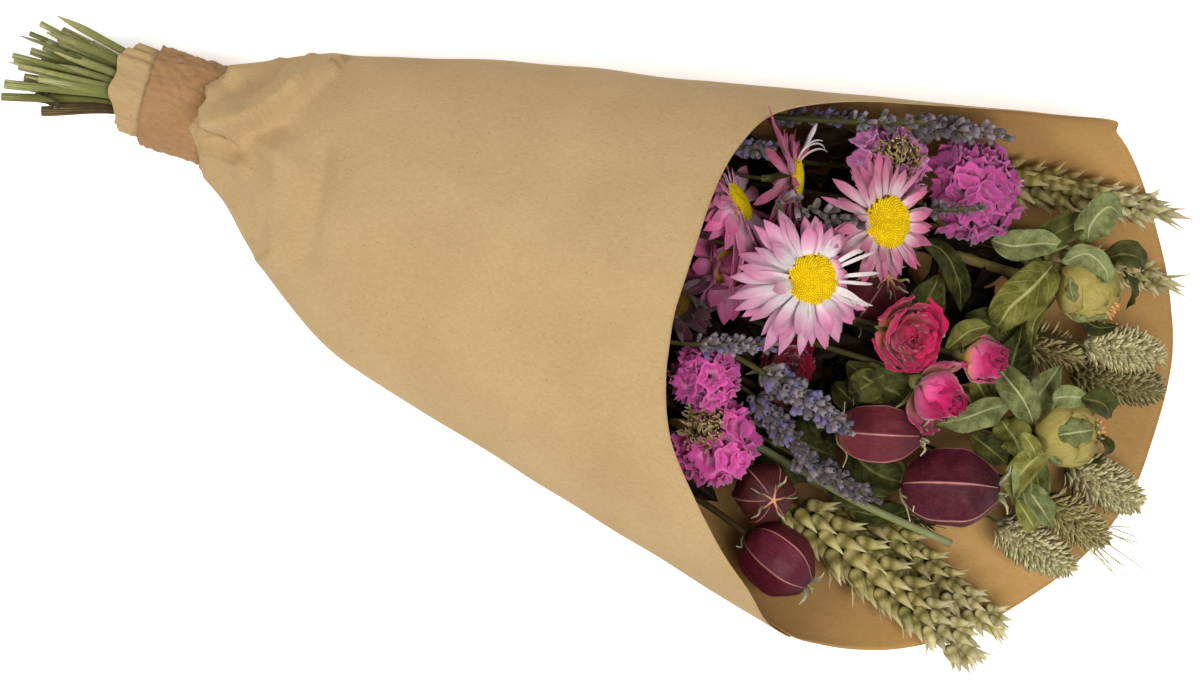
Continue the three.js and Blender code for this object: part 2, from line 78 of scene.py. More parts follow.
# Folds on the side that faces up, as lines seen from above: from x, y to x, y, the width of the
# slope on the left and on the right of the line, and the height. A narrow slope is a sharp crease.
FOLDS = [
    (15, 3, 26, -4, 10, 2.4, 6.4),
    (26, -4, 37, 2, 14, 2.4, 7.4),
    (37, 2, 47, 15.5, 13, 2.6, 6.4),
    (47, 15.5, 54, 27, 11, 2.5, 4.2),
    (17, 4, 24, 14, 2, 5, 3),
    (24, 14, 36, 24, 3, 6, 2.6),
    (36, 8, 46, 28, 4, 3, 2.2),
    (20, -12, 36, -13, 4, 6, 2.6),
    (36, -13, 46, -22, 5, 8, 2.8),
    (40, -5, 56, -9, 8, 8, 1.8),
    (47, -5, 55, -38, 9, 9, 3),
    (61, -2, 66, -36, 7, 7, -2.4),
    (24, -19, 44, -34, 5, 4, 1.8),
    (48, -44, 62, -30, 7, 9, 1.4),
    (60, 12, 96, 30, 14, 16, 0.8),
    (70, -44, 104, -62, 16, 14, 0.8),
    (84, 6, 150, -6, 26, 30, 0.7),
    (128, -40, 196, -58, 24, 26, 0.6),
    (150, 38, 222, 48, 20, 22, 0.5),
]


def mix(a, b, share):
    return a + (b - a) * share


def smooth(low, high, value):
    share = min(1, max(0, (value - low) / (high - low)))
    return share * share * (3 - 2 * share)


def read_rows(rows, key, column=1):
    """A smooth line through rows of (key, value, ...), read at any key."""
    last = len(rows) - 1
    i = next((j - 1 for j, row in enumerate(rows) if row[0] > key), last - 1)
    i = max(0, min(i, last - 1))

    def rise(j):
        return (rows[j + 1][column] - rows[j][column]) / (rows[j + 1][0] - rows[j][0])

    def slope(j):
        before, after = rise(max(0, j - 1)), rise(min(last - 1, j))
        return (before + after) / 2 if before * after > 0 else 0

    span = rows[i + 1][0] - rows[i][0]
    t = min(1, max(0, (key - rows[i][0]) / span))
    bend = t * (1 - t) * span
    eased = mix(rows[i][column], rows[i + 1][column], smooth(0, 1, t))
    return eased + bend * ((1 - t) * slope(i) - t * slope(i + 1))


def paper_point(x, angle):
    """The plain roll, in millimetres from the neck. The angle counts from the underside."""
    opened = smooth(15, 42, x)
    flat = FLAT_SHARE * opened
    half, side, height = (read_rows(SECTIONS, x, column) for column in (1, 2, 3))
    rise = (1 + flat) * (1 - math.cos(angle)) / 2 - flat
    return Vector((x, side + half * math.sin(angle), NECK_LIFT * (1 - opened) + height * max(0, rise)))


def fold_height(x, y):
    total = 0
    for x1, y1, x2, y2, left, right, height in FOLDS:
        way = Vector((x2 - x1, y2 - y1))
        off = Vector((x - x1, y - y1))
        along = min(1, max(0, off.dot(way) / way.length_squared))
        side = way.x * off.y - way.y * off.x
        reach = (off - way * along).length / (left if side > 0 else right)
        if reach < 1:
            total += height * (1 - reach) * (1 - 0.35 * reach)
    return total


def zigzag(turns):
    """Sharp folds: from 0.5 to -0.5 and back in every two turns."""
    return abs(turns % 2 - 1) - 0.5


def pleats(x, angle):
    """The gathers that fan out from the neck, deep at the tape and gone in the open roll."""
    turn = math.degrees(angle)
    wave = zigzag(turn / 31 + 0.35 * math.sin(turn / 47))
    fine = zigzag(turn / 13 + 0.6 * math.sin(turn / 29))
    near = smooth(-14, 12, x) * (1 - smooth(26, 92, x))
    return near * (2.1 * wave + 0.8 * fine * (1 - smooth(15, 50, x)))


def rolled_sheet(across, along):
    """A point of the sheet: across runs round the roll, along runs from the gathered end to the rim."""
    degrees = mix(SHEET_START, SHEET_END, across)
    angle = math.radians(degrees)
    rim = read_rows(RIM, degrees if degrees < 195 else degrees - 360)
    outer = smooth(250, 272, degrees)
    rim = mix(rim, min(rim, 262 + (degrees - 270) * 0.12), outer)
    gather = -11 + 6.6 * min(0, math.cos(angle)) - 2.4 * math.sin(angle) + 0.9 * math.sin(7 * angle)
    x = mix(gather, rim, along ** 1.3)
    at = paper_point(x, angle)
    step = 0.02
    ahead = paper_point(x + 0.5, angle) - paper_point(x - 0.5, angle)
    aside = paper_point(x, angle + step) - paper_point(x, angle - step)
    out = aside.cross(ahead).normalized()
    lift = -0.75 * (1 - smooth(-50, -10, degrees)) - 0.2
    top = smooth(0.05, 0.4, -math.cos(angle)) if -math.cos(angle) > 0 else 0
    edge = read_rows(TAPE_EDGE, at.y)
    lift += fold_height(at.x, at.y) * top * smooth(edge, edge + 5, x)
    lift += 2.4 * top * smooth(edge - 0.8, edge + 0.6, x) * (1 - smooth(20, 36, x))
    under = smooth(0.1, 0.5, math.cos(angle)) if math.cos(angle) > 0 else 0
    lift += (pleats(x, angle) - 1.2 * under * smooth(5, 20, x)) * (1 - 0.75 * top * smooth(14, 26, x))
    lift += 0.5 * noise.noise(Vector((x / 22, degrees / 16, 3))) * smooth(40, 90, x) * (1 - under)
    taped_down = 1 - smooth(edge - 1.6, edge - 0.2, x)
    if taped_down:
        crumple = noise.noise(Vector((x / 5, degrees / 9, 8)))
        pleat = zigzag(degrees / 13 + 0.9 * math.sin(degrees / 19))
        gathered = 0.5 * crumple + 1.5 * pleat * (1 - smooth(-9, -5, x)) - 0.6
        lift = mix(lift, min(lift, 0.1) * 0.3 + gathered, taped_down)
    at += out * lift
    at.z = max(at.z, 0.02)
    return NECK + at * MM


def rolled(around, along, point_at):
    """A grid of faces rolled round the neck with its outside out, by its shares across and along."""
    made = bmesh.new()
    bmesh.ops.create_grid(made, x_segments=along, y_segments=around, size=0.5)
    for vert in made.verts:
        vert.co = point_at(0.5 + vert.co.y, 0.5 + vert.co.x)
    bmesh.ops.reverse_faces(made, faces=made.faces[:])
    return made


def finished(name, mesh_of, *finishes, place=None, thickness=0, offset=0):
    """Turns a bmesh into an object at the origin, smooth all over, with its finishes. An open sheet
    gets the thickness of the real one, in millimetres."""
    if place is not None:
        bmesh.ops.transform(mesh_of, matrix=place, verts=mesh_of.verts[:])
    mesh = bpy.data.meshes.new(name)
    for face in mesh_of.faces:
        face.smooth = True
    mesh_of.to_mesh(mesh)
    mesh_of.free()
    for each in finishes:
        mesh.materials.append(each)
    made = bpy.data.objects.new(name, mesh)
    bpy.context.scene.collection.objects.link(made)
    if thickness:
        wall = made.modifiers.new("thickness", "SOLIDIFY")
        wall.thickness = thickness * MM
        wall.offset = offset
    return made


def own(piece, slot, *nodes):
    """Every piece rides on the one body, and may stand for CAD nodes, whose parts it hides. The slot is not
    used.
    """
    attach(piece, "root")
    if nodes:
        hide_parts(*nodes)


def linear(tone):
    """Red, green and blue as they look on a screen, 0 to 255, turned into what the shader wants."""
    return [((c / 255 + 0.055) / 1.055) ** 2.4 if c > 10 else c / 255 / 12.92 for c in tone] + [1]


def node(tree, kind, outlet=0, settings=(), **inlets):
    """Adds a shader node, feeds it and gives back one of its outputs. inlet_0 is its first input."""
    made = tree.nodes.new("ShaderNode" + kind)
    for key, value in dict(settings).items():
        setattr(made, key, value)
    for key, value in inlets.items():
        socket = made.inputs[int(key[6:]) if key.startswith("inlet_") else key.replace("_", " ")]
        if isinstance(value, bpy.types.NodeSocket):
            tree.links.new(value, socket)
        else:
            socket.default_value = value
    return made.outputs[outlet]


def calc(operation, *values, clamp=False):
    """A Math node on values, of which one at least is the output of another node."""
    feeds = {f"inlet_{i}": value for i, value in enumerate(values)}
    tree = next(value.id_data for value in values if isinstance(value, bpy.types.NodeSocket))
    return node(tree, "Math", settings={"operation": operation, "use_clamp": clamp}, **feeds)


def ramp(factor, *stops):
    """Colours along a factor: each stop is its place from 0 to 1 and its colour."""
    tree = factor.id_data
    made = tree.nodes.new("ShaderNodeValToRGB")
    elements = made.color_ramp.elements
    while len(elements) < len(stops):
        elements.new(0.5)
    for element, (place, shade) in zip(elements, stops):
        element.position = place
        element.color = linear(shade)
    tree.links.new(factor, made.inputs["Fac"])
    return made.outputs["Color"]


def laid_over(factor, ground, tone):
    """A plain tone laid over a ground as much as the factor says."""
    feeds = {"inlet_0": factor, "inlet_6": ground, "inlet_7": linear(tone)}
    return node(factor.id_data, "Mix", 2, {"data_type": "RGBA"}, **feeds)


def cloudy(tree, scale, detail=2, roughness=0.5):
    """Soft noise through the piece's own coordinates, with its scale per metre."""
    at = node(tree, "TexCoord", "Object")
    return node(tree, "TexNoise", Vector=at, Scale=scale, Detail=detail, Roughness=roughness)


def new_finish(name, roughness, specular=0.3, **uniform):
    """A material with its Principled shader, whose even values are set straight on the shader."""
    made = bpy.data.materials.new(name)
    made.use_nodes = True
    shader = made.node_tree.nodes["Principled BSDF"]
    shader.inputs["Roughness"].default_value = roughness
    shader.inputs["Specular IOR Level"].default_value = specular
    for key, value in uniform.items():
        shader.inputs[key.replace("_", " ")].default_value = value
    return made, made.node_tree, shader


def cover(shader, tone, height, strength, depth):
    """Gives a shader its colour and the bumps of its surface, with their depth in metres."""
    tree = shader.id_data
    tree.links.new(tone, shader.inputs["Base Color"])
    bumps = node(tree, "Bump", Height=height, Strength=strength, Distance=depth)
    tree.links.new(bumps, shader.inputs["Normal"])


def kraft_finish(name, pale, deep, fleck, crumple=0):
    """Brown paper: cloudy tone, fine fibres along the roll, sparse dark flecks and a soft tooth."""
    made, tree, shader = new_finish(name, roughness=0.82, specular=0.22)
    at = node(tree, "TexCoord", "Object")
    cloud = cloudy(tree, 26, 4, 0.55)
    fibres = node(tree, "Mapping", Vector=at, Scale=(420, 1500, 1500))
    fibre = node(tree, "TexNoise", Vector=fibres, Scale=1, Detail=3, Roughness=0.65)
    tooth = cloudy(tree, 2100)
    tone = calc("MULTIPLY_ADD", fibre, 0.55, calc("MULTIPLY", cloud, 0.5))
    ground = ramp(tone, (0.3, deep), (0.72, pale))
    for scale, most in ((420, 0.1), (800, 0.13)):
        cells = node(tree, "TexVoronoi", "Distance", Vector=at, Scale=scale)
        pick = cloudy(tree, scale * 0.45, 1)
        spot = calc("MULTIPLY", calc("LESS_THAN", cells, most), calc("GREATER_THAN", pick, 0.56))
        ground = laid_over(calc("MULTIPLY", spot, 0.5), ground, fleck)
    height = calc("MULTIPLY_ADD", tooth, 0.4, fibre)
    if crumple:
        edges = {"feature": "DISTANCE_TO_EDGE"}
        creased = node(tree, "TexVoronoi", "Distance", edges, Vector=at, Scale=190)
        height = calc("MULTIPLY_ADD", creased, crumple, height)
    cover(shader, ground, height, strength=0.22, depth=0.00025)
    return made


kraft = kraft_finish("kraft", (198, 167, 120), (175, 144, 98), (100, 72, 42))
# Painted reflected light and shade: the inside of the same paper gets a warmer, more orange tone, for the
# light that the paper bounces onto itself inside the roll.
kraft_inside_painted_bounce = kraft_finish("kraft_inside_painted_bounce", (201, 157, 98), (180, 138, 80), (94, 64, 32))
sheet = rolled(200, 140, rolled_sheet)
wrapper = finished("wrapper_paper", sheet, kraft, kraft_inside_painted_bounce, thickness=PAPER_THICKNESS, offset=-1)
wrapper.modifiers["thickness"].material_offset = 1
own(wrapper, "kraft_paper", "paper_wrapper")

# The neck tape: crumpled brown paper tape wound a little more than once round the gathered paper.
# It is thinner and redder than the kraft paper, and its end laps over its beginning.
TAPE_RADIUS = 16.9
TAPE_AXIS = Vector((0, 0, 17.2))
TAPE_THICKNESS = 0.2
# The two ends of the tape, in degrees round from the underside.
TAPE_START, TAPE_END = -30, 385


def wound_tape(across, along):
    angle = mix(math.radians(TAPE_START), math.radians(TAPE_END), across)
    edge = read_rows(TAPE_EDGE, TAPE_RADIUS * math.sin(angle)) + 0.5
    x = mix(-5.5 - 1.4 * math.sin(angle + 0.4), edge, along) - 0.5 * math.sin(2 * angle + 1) * (1 - along)
    puckers = zigzag(math.degrees(angle) / 24 + 0.5 * along)
    creased = noise.noise(Vector((x / 5, 6 * math.cos(angle), 6 * math.sin(angle))))
    radius = TAPE_RADIUS + 0.55 * across + 0.7 * puckers * abs(2 * along - 1) + 1.5 * abs(creased)
    radius += 0.8 * noise.noise(Vector((x / 2.4, 14 * math.cos(angle), 14 * math.sin(angle))))
    at = TAPE_AXIS + Vector((x, radius * math.sin(angle), -radius * math.cos(angle)))
    at.z = max(at.z, 0.05)
    return NECK + at * MM


brown_tape = kraft_finish("brown_tape", (178, 138, 94), (154, 112, 72), (100, 68, 42), crumple=1.6)
band = rolled(150, 26, wound_tape)
tape = finished("neck_tape_paper", band, brown_tape, thickness=TAPE_THICKNESS, offset=-1)
own(tape, "paper_tape", "neck_tape")

# The rubber band ties the stems together under the tape. It is hidden there, so its CAD solid
# stays as it is, in tan rubber with fine dust.
rubber, tree, shader = new_finish("tan_rubber", roughness=0.6, specular=0.4)
dust = ramp(cloudy(tree, 900, 3), (0.3, (126, 98, 54)), (0.7, (168, 138, 88)))
tree.links.new(dust, shader.inputs["Base Color"])
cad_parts["stem_band"].data.materials.clear()
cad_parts["stem_band"].data.materials.append(rubber)

# The stems: one dried stalk for each flower, ribbed and slightly bent, run together inside the
# tape and cut off at uneven lengths behind it. Most are sage green, some olive, straw or brown, and
# along their middle, which runs under the blooms, they are painted darker as shade.
def rings_of(name):
    """Ring centres and radii of a CAD stalk or leaf, from its root to its tip."""
    merged = bmesh.new()
    merged.from_mesh(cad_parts[name].data)
    bmesh.ops.remove_doubles(merged, verts=merged.verts[:], dist=0.01 * MM)
    merged.verts.ensure_lookup_table()

    def spread(start):
        found, seen = [[start]], {start}
        while found[-1]:
            beside = (edge.other_vert(vert) for vert in found[-1] for edge in vert.link_edges)
            found.append([vert for vert in dict.fromkeys(beside) if vert not in seen])
            seen.update(found[-1])
        return found[:-1]

    rings = []
    for ring in spread(spread(merged.verts[0])[-1][0]):
        centre = sum((vert.co for vert in ring), Vector()) / len(ring)
        rings.append((centre, max((vert.co - centre).length for vert in ring)))
    merged.free()
    if (rings[0][0] - rings[1][0]).length > (rings[-1][0] - rings[-2][0]).length:
        rings.reverse()
    return rings[1:]


# Each kind of head: rings of its solid, length from its root to its tip, and its tip from its middle.
HEADS = {
    "daisy": (6, 18, 4), "statice": (5, 27, 11), "lavender": (5, 32, 15), "nigella": (7, 37, 17),
    "rose": (5, 23, 9), "wheat": (6, 90, 44), "canary": (5, 32, 15), "safflower": (6, 29, 14),
    "cut": (2, 30, 0), "seed": (5, 32, 15),
}


def faced(at, size, way):
    """The axes of a head: Z out of its face, Y as level as it can be."""
    way = Vector(way).normalized()
    aside = (Vector((0, 1, 0)) - way * way.y).normalized()
    turn = Matrix((aside.cross(way), aside, way)).transposed().to_4x4()
    return Matrix.Translation(at) @ turn @ Matrix.Scale(size, 4)


def head_of(name, way=None):
    """The head's own axes, in millimetres at its kind's full size, and its stem's rings."""
    count, length, tip_at = HEADS[name.split("_")[0]]
    rings = rings_of(name)
    root, tip = rings[-count - 1][0], rings[-1][0]
    size = (tip - root).length / (length * MM)
    middle = tip - (tip - root).normalized() * tip_at * size * MM
    return faced(middle, size * MM, way or tip - root), rings[:-count]


def smooth_line(points, count):
    """Evenly spaced stations on a smooth line through points."""
    dense = []
    last = len(points) - 1
    spans = [(points[i + 1] - points[i]).length or 1e-9 for i in range(last)]

    def tangent(i):
        if i == 0 or i == last:
            j = min(i, last - 1)
            return (points[j + 1] - points[j]) / spans[j]
        before = (points[i] - points[i - 1]) / spans[i - 1]
        after = (points[i + 1] - points[i]) / spans[i]
        return (before * spans[i] + after * spans[i - 1]) / (spans[i] + spans[i - 1])

    for i in range(last):
        start, end = tangent(i) * spans[i], tangent(i + 1) * spans[i]
        for k in range(10):
            t = k / 10
            dense.append(
                points[i] * (2 * t**3 - 3 * t**2 + 1) + start * (t**3 - 2 * t**2 + t)
                + points[i + 1] * (3 * t**2 - 2 * t**3) + end * (t**3 - t**2)
            )
    dense.append(points[last])
    run = [0]
    for i in range(len(dense) - 1):
        run.append(run[-1] + (dense[i + 1] - dense[i]).length)
    stations, j = [], 0
    for k in range(count + 1):
        want = run[-1] * k / count
        while j < len(run) - 2 and run[j + 1] < want:
            j += 1
        share = (want - run[j]) / max(1e-12, run[j + 1] - run[j])
        stations.append(dense[j].lerp(dense[j + 1], min(1, share)))
    return stations


def blank():
    """A new piece or element. Its place layer holds along, across and shade for the finish."""
    made = bmesh.new()
    made.verts.layers.float_vector.new("place")
    return made


def place_of(made):
    return made.verts.layers.float_vector["place"]


def column(sides, rings):
    """A closed upright column of one unit, cut across into rings."""
    made = blank()
    bmesh.ops.create_cone(made, cap_ends=True, segments=sides, radius1=1, radius2=1, depth=1)
    upright = [e for e in made.edges if abs(e.verts[0].co.z - e.verts[1].co.z) > 0.5]
    bmesh.ops.subdivide_edges(made, edges=upright, cuts=rings - 1)
    return made


def rod(points, radius_at, sides=8, rings=24, shade=0, flat=1, ribs=0):
    """A closed rod along a smooth line. radius_at takes the share of its length."""
    made = column(sides, rings)
    lay = place_of(made)
    line = smooth_line(points, rings)
    axes, side = [], Vector((0.3, 0.2, 1))
    for k in range(rings + 1):
        ahead = (line[min(rings, k + 1)] - line[max(0, k - 1)]).normalized()
        side = (side - ahead * side.dot(ahead)).normalized()
        axes.append((side, ahead.cross(side)))
    for vert in made.verts:
        share = vert.co.z + 0.5
        k = round(share * rings)
        turn = math.atan2(vert.co.y, vert.co.x)
        radius = radius_at(share) * (1 + ribs * math.cos(turn * 5))
        vert[lay] = (share, turn / math.pi, shade)
        vert.co = line[k] + (axes[k][0] * vert.co.x + axes[k][1] * vert.co.y * flat) * radius
    return made


def add(target, element, place=None, shade=None, finish=0):
    """Moves an element into a piece, with the number of its finish there."""
    if place is not None:
        bmesh.ops.transform(element, matrix=place, verts=element.verts[:])
    for face in element.faces:
        face.material_index = finish or face.material_index
    if shade is not None:
        lay = place_of(element)
        for vert in element.verts:
            vert[lay] = (vert[lay].x, vert[lay].y, shade)
    mesh = bpy.data.meshes.new("element")
    element.to_mesh(mesh)
    element.free()
    target.from_mesh(mesh)
    bpy.data.meshes.remove(mesh)


def scatter(target, element, places, finish=0):
    """Repeats a small element in a piece: each place is its matrix and its shade."""
    mesh = bpy.data.meshes.new("element")
    element.to_mesh(mesh)
    count = len(mesh.vertices)
    made = blank()
    for _ in places:
        made.from_mesh(mesh)
    bpy.data.meshes.remove(mesh)
    made.verts.ensure_lookup_table()
    lay = place_of(made)
    verts = made.verts[:]
    for i, (place, shade) in enumerate(places):
        for vert in verts[i * count : (i + 1) * count]:
            vert.co = place @ vert.co
            vert[lay] = (vert[lay].x, vert[lay].y, shade)
    add(target, made, finish=finish)


def aim(at, way, roll=0, size=1):
    """Places an element so that its Z runs along a way."""
    turn = Vector(way).to_track_quat("Z", "Y").to_matrix().to_4x4()
    return Matrix.Translation(at) @ turn @ Matrix.Rotation(roll, 4, "Z") @ Matrix.Scale(size, 4)


def lay_out(at, way, face, size=1):
    """Places a blade so that it grows along a way, with its upper side towards a face direction."""
    way = Vector(way).normalized()
    face = Vector(face)
    face = (face - way * face.dot(way)).normalized()
    turn = Matrix((way.cross(face), way, face)).transposed().to_4x4()
    return Matrix.Translation(at) @ turn @ Matrix.Scale(size, 4)


def parts_of_place(tree):
    """The three values of a piece's place layer: along, across and shade."""
    place = node(tree, "Attribute", "Vector", {"attribute_name": "place"})
    parts = tree.nodes.new("ShaderNodeSeparateXYZ")
    tree.links.new(place, parts.inputs["Vector"])
    return parts.outputs


def plant_finish(
    name, stops, streaks=5, depth=0.3, mottle=0.25, bump=0.3, roughness=0.72, drift=0.34,
    contrast=0.5, shift=0, **uniform
):
    """A dried plant's finish: its tone runs from root to tip, with fine streaks along it."""
    made, tree, shader = new_finish(name, roughness, uniform.pop("specular", 0.12), **uniform)
    along, across, shade = parts_of_place(tree)
    lines = node(
        tree, "CombineXYZ",
        X=calc("MULTIPLY", across, streaks),
        Y=calc("MULTIPLY", along, 1.3),
        Z=calc("MULTIPLY", shade, 9),
    )
    fibre = node(tree, "TexNoise", Vector=lines, Scale=1.6, Detail=4, Roughness=0.6)
    cloud = cloudy(tree, 420, 3, 0.6)
    run = calc("ADD", along, calc("MULTIPLY_ADD", fibre, drift, -drift / 2))
    if shift:
        run = calc("MULTIPLY_ADD", shade, shift, run)
    tone = ramp(run, *stops)
    light = calc("MULTIPLY_ADD", shade, depth, 1)
    light = calc("MULTIPLY_ADD", calc("SUBTRACT", cloud, 0.5), mottle * 2, light)
    light = calc("MULTIPLY_ADD", calc("SUBTRACT", fibre, 0.5), contrast, light)
    tone = node(tree, "HueSaturation", Color=tone, Value=light)
    cover(shader, tone, calc("MULTIPLY_ADD", cloud, 0.4, fibre), bump, depth=0.0006)
    return made


# Tones from a stem's cut end to its head: a pale cut face, its own tone behind the tape, then painted shade,
# much darker, along the middle that runs inside the paper and under the blooms, and lighter again at the
# head.
STEM_STOPS = {
    "sage": (
        (0, (186, 182, 132)), (0.01, (122, 126, 70)), (0.14, (112, 114, 62)),
        (0.4, (64, 60, 30)), (0.85, (60, 56, 28)), (1, (84, 80, 42)),
    ),
    "olive": (
        (0, (178, 168, 110)), (0.01, (118, 116, 62)), (0.14, (106, 104, 52)),
        (0.4, (54, 48, 22)), (0.85, (58, 50, 24)), (1, (76, 68, 32)),
    ),
    "straw": (
        (0, (204, 192, 146)), (0.01, (150, 144, 92)), (0.14, (138, 132, 80)),
        (0.4, (78, 68, 36)), (0.85, (104, 92, 52)), (1, (140, 122, 72)),
    ),
    "brown": (
        (0, (132, 110, 74)), (0.01, (74, 60, 30)), (0.14, (66, 54, 28)),
        (0.4, (46, 34, 18)), (1, (70, 52, 30)),
    ),
    "green": (
        (0, (186, 182, 132)), (0.01, (122, 128, 80)), (0.4, (70, 70, 36)), (0.8, (116, 122, 80)),
        (1, (140, 144, 98)),
    ),
}
stem_finish = {
    tone: plant_finish(tone + "_stem", stops, streaks=9, depth=0.25, mottle=0.3, bump=0.5)
    for tone, stops in STEM_STOPS.items()
}
STEM_TONE = {
    "daisy": "sage", "statice": "olive", "lavender": "sage", "nigella": "olive", "rose": "sage",
    "wheat": "straw", "canary": "sage", "safflower": "straw", "cut": "green", "seed": "olive",
    "nigella_low": "brown", "statice_lower_left": "brown", "nigella_end_on": "brown", "daisy_shaded": "brown",
}
STEM_RINGS = 90
chance = random.Random(7)


def axis(height):
    """A point on the Z axis, or a direction along it."""
    return Vector((0, 0, height))


def stalk(name, inside=(), way=None):
    """The head's axes, and the stem from its cut end to heights inside the head."""
    head, rings = head_of(name, way)
    radius = rings[0][1]
    thick = chance.uniform(1.35, 1.95)
    points = [centre for centre, _ in rings] + [head @ axis(height) for height in inside]
    phase = chance.uniform(0, 6)

    def width(share):
        foot = mix(thick, 1, smooth(0.06, 0.14, share))
        knot = 0.12 * math.exp(-(((share - 0.62) / 0.006) ** 2))
        return radius * (foot + knot + 0.05 * math.sin(share * 37 + phase))

    shade, flat = chance.uniform(-0.8, 0.8), chance.uniform(0.5, 1)
    return head, rod(points, width, sides=10, rings=STEM_RINGS, shade=shade, flat=flat, ribs=0.07)


def tone_of(name):
    return stem_finish[STEM_TONE.get(name) or STEM_TONE[name.split("_")[0]]]


def stem(name, inside=(), way=None):
    head, made = stalk(name, inside, way)
    own(finished(name + "_stem", made, tone_of(name)), "dry_stem", name)
    return head


# The daisies: papery everlasting flowers. A domed disc of tiny yellow florets sits in layers of
# pointed papery petals, white at their roots and pink towards their tips, over short bracts.
DAISY_PETAL = ((0, 0.9), (0.2, 1.5), (0.5, 2.25), (0.7, 2.2), (0.84, 1.5), (0.93, 0.75), (1, 0.08))


def woven(columns, rows, shade, point_at):
    """A grid of faces whose points come from across, -1 to 1, and along, 0 to 1."""
    made = blank()
    lay = place_of(made)
    bmesh.ops.create_grid(made, x_segments=columns, y_segments=rows, size=0.5)
    for vert in made.verts:
        across, along = 2 * vert.co.x, vert.co.y + 0.5
        vert[lay] = (along, across, shade)
        vert.co = point_at(across, along)
    return made


def ribbon(line, outline, up, cup=0, fold=0, ruffle=0, twist=0, columns=4, shade=0, seed=0):
    """A thin blade along a line. The outline gives its half width at shares of its length."""
    rows = len(line) - 1
    axes, side = [], (line[1] - line[0]).cross(up)
    for k in range(rows + 1):
        ahead = (line[min(rows, k + 1)] - line[max(0, k - 1)]).normalized()
        side = (side - ahead * side.dot(ahead)).normalized()
        spin = Matrix.Rotation(twist * k / rows, 3, ahead)
        half = read_rows(outline, k / rows)
        axes.append((spin @ side, spin @ side.cross(ahead), half))

    def point_at(across, along):
        side, face, half = axes[round(along * rows)]
        wave = ruffle * across * across * math.sin(along * 15 + seed + (2.2 if across > 0 else 0))
        rise = cup * across * across + fold * abs(across) + wave
        return line[round(along * rows)] + side * half * across + face * half * rise

    return woven(columns, rows, shade, point_at)


def blade(length, outline, curl=0, rows=9, hook=0, **shape):
    """A ribbon that grows along +Y from the origin and bends up by curl, and by hook at its tip."""
    line, at, angle = [Vector()], Vector(), 0.0
    for k in range(rows):
        share = (k + 0.5) / rows
        angle = curl * share + hook * share**4
        at = at + Vector((0, math.cos(angle), math.sin(angle))) * length / rows
        line.append(at)
    return ribbon(line, outline, axis(1), **shape)


def level(angle):
    """The level direction at an angle round Z."""
    return Vector((math.cos(angle), math.sin(angle), 0))


def widened(outline, wide):
    return tuple((share, half * wide) for share, half in outline)


def whorl(
    target, draws, count, ring, height, length, tilt, outline, curl=0, turn=0, pull=(0, 0), bare=None, **shape
):
    """Blades round the Z axis, tilted up from level, longer where pulled and short at the bare side."""
    for i in range(count):
        angle = turn + math.tau * (i + draws.uniform(-0.45, 0.45)) / count
        lean = tilt + draws.gauss(0, 0.14)
        out = level(angle)
        way = out * math.cos(lean) + axis(math.sin(lean))
        way += out.cross(axis(1)) * draws.gauss(0, 0.1)
        face = axis(math.cos(lean)) - out * math.sin(lean)
        face += out.cross(axis(1)) * draws.gauss(0, 0.25)
        size = draws.uniform(0.82, 1.06) * (1 + out.x * pull[0] + out.y * pull[1])
        if bare is not None and math.cos(angle - bare) > 0.84:
            size *= 0.5
        wide = draws.uniform(0.72, 1.12)
        made = blade(
            length * size, widened(outline, wide), curl + draws.gauss(0, 0.2), shade=draws.uniform(-1, 1),
            seed=draws.uniform(0, 6), twist=draws.gauss(0, 0.2), **shape,
        )
        add(target, made, lay_out(out * ring + axis(height), way, face))


def petal_finish(name, root, middle, tip):
    return plant_finish(
        name, ((0, root), (0.3, root), (0.55, middle), (0.97, tip)),
        streaks=8, depth=0.14, mottle=0.12, bump=0.7, roughness=0.6, drift=1, contrast=0.7, shift=0.17,
        Sheen_Weight=0.25, Sheen_Roughness=0.5,
    )


disc_finish = plant_finish(
    "yellow_florets", ((0, (206, 138, 10)), (0.35, (238, 200, 8)), (1, (252, 226, 20))),
    streaks=2, depth=0.14, mottle=0.2, roughness=0.8,
)
# Brown florets: the real dried florets that dot a disc's rim, and also painted shade, for the disc of the
# daisy that lies in shadow.
brown_floret_and_shade = plant_finish("brown_florets_and_shade", ((0, (62, 42, 12)), (1, (116, 84, 22))), streaks=2)
# Each layer of petals: the radius of its ring, its height, its length and how far it leans up.
PETAL_LAYERS = ((6.4, 0.6, 15, 0.44), (6, -0.2, 18, 0.2), (5.6, -1.1, 19, 0))
CURLED_PETAL = ((0, 0.6), (0.5, 1), (0.8, 0.8), (1, 0.1))
# The domed disc in millimetres: its radius, its height over its foot, and where the foot lies.
DISC_RADIUS, DISC_DOME, DISC_FOOT = 8.4, 2.7, 0.6
FLORET_COUNT = 420
# Successive florets, bracts and scales stand this far round from each other, as on real plants.
GOLDEN_ANGLE = 2.39996


def dimple(reach):
    """The hollow in the middle of a disc, at a share of its radius."""
    return 0.7 * math.exp(-((reach / 0.13) ** 2))


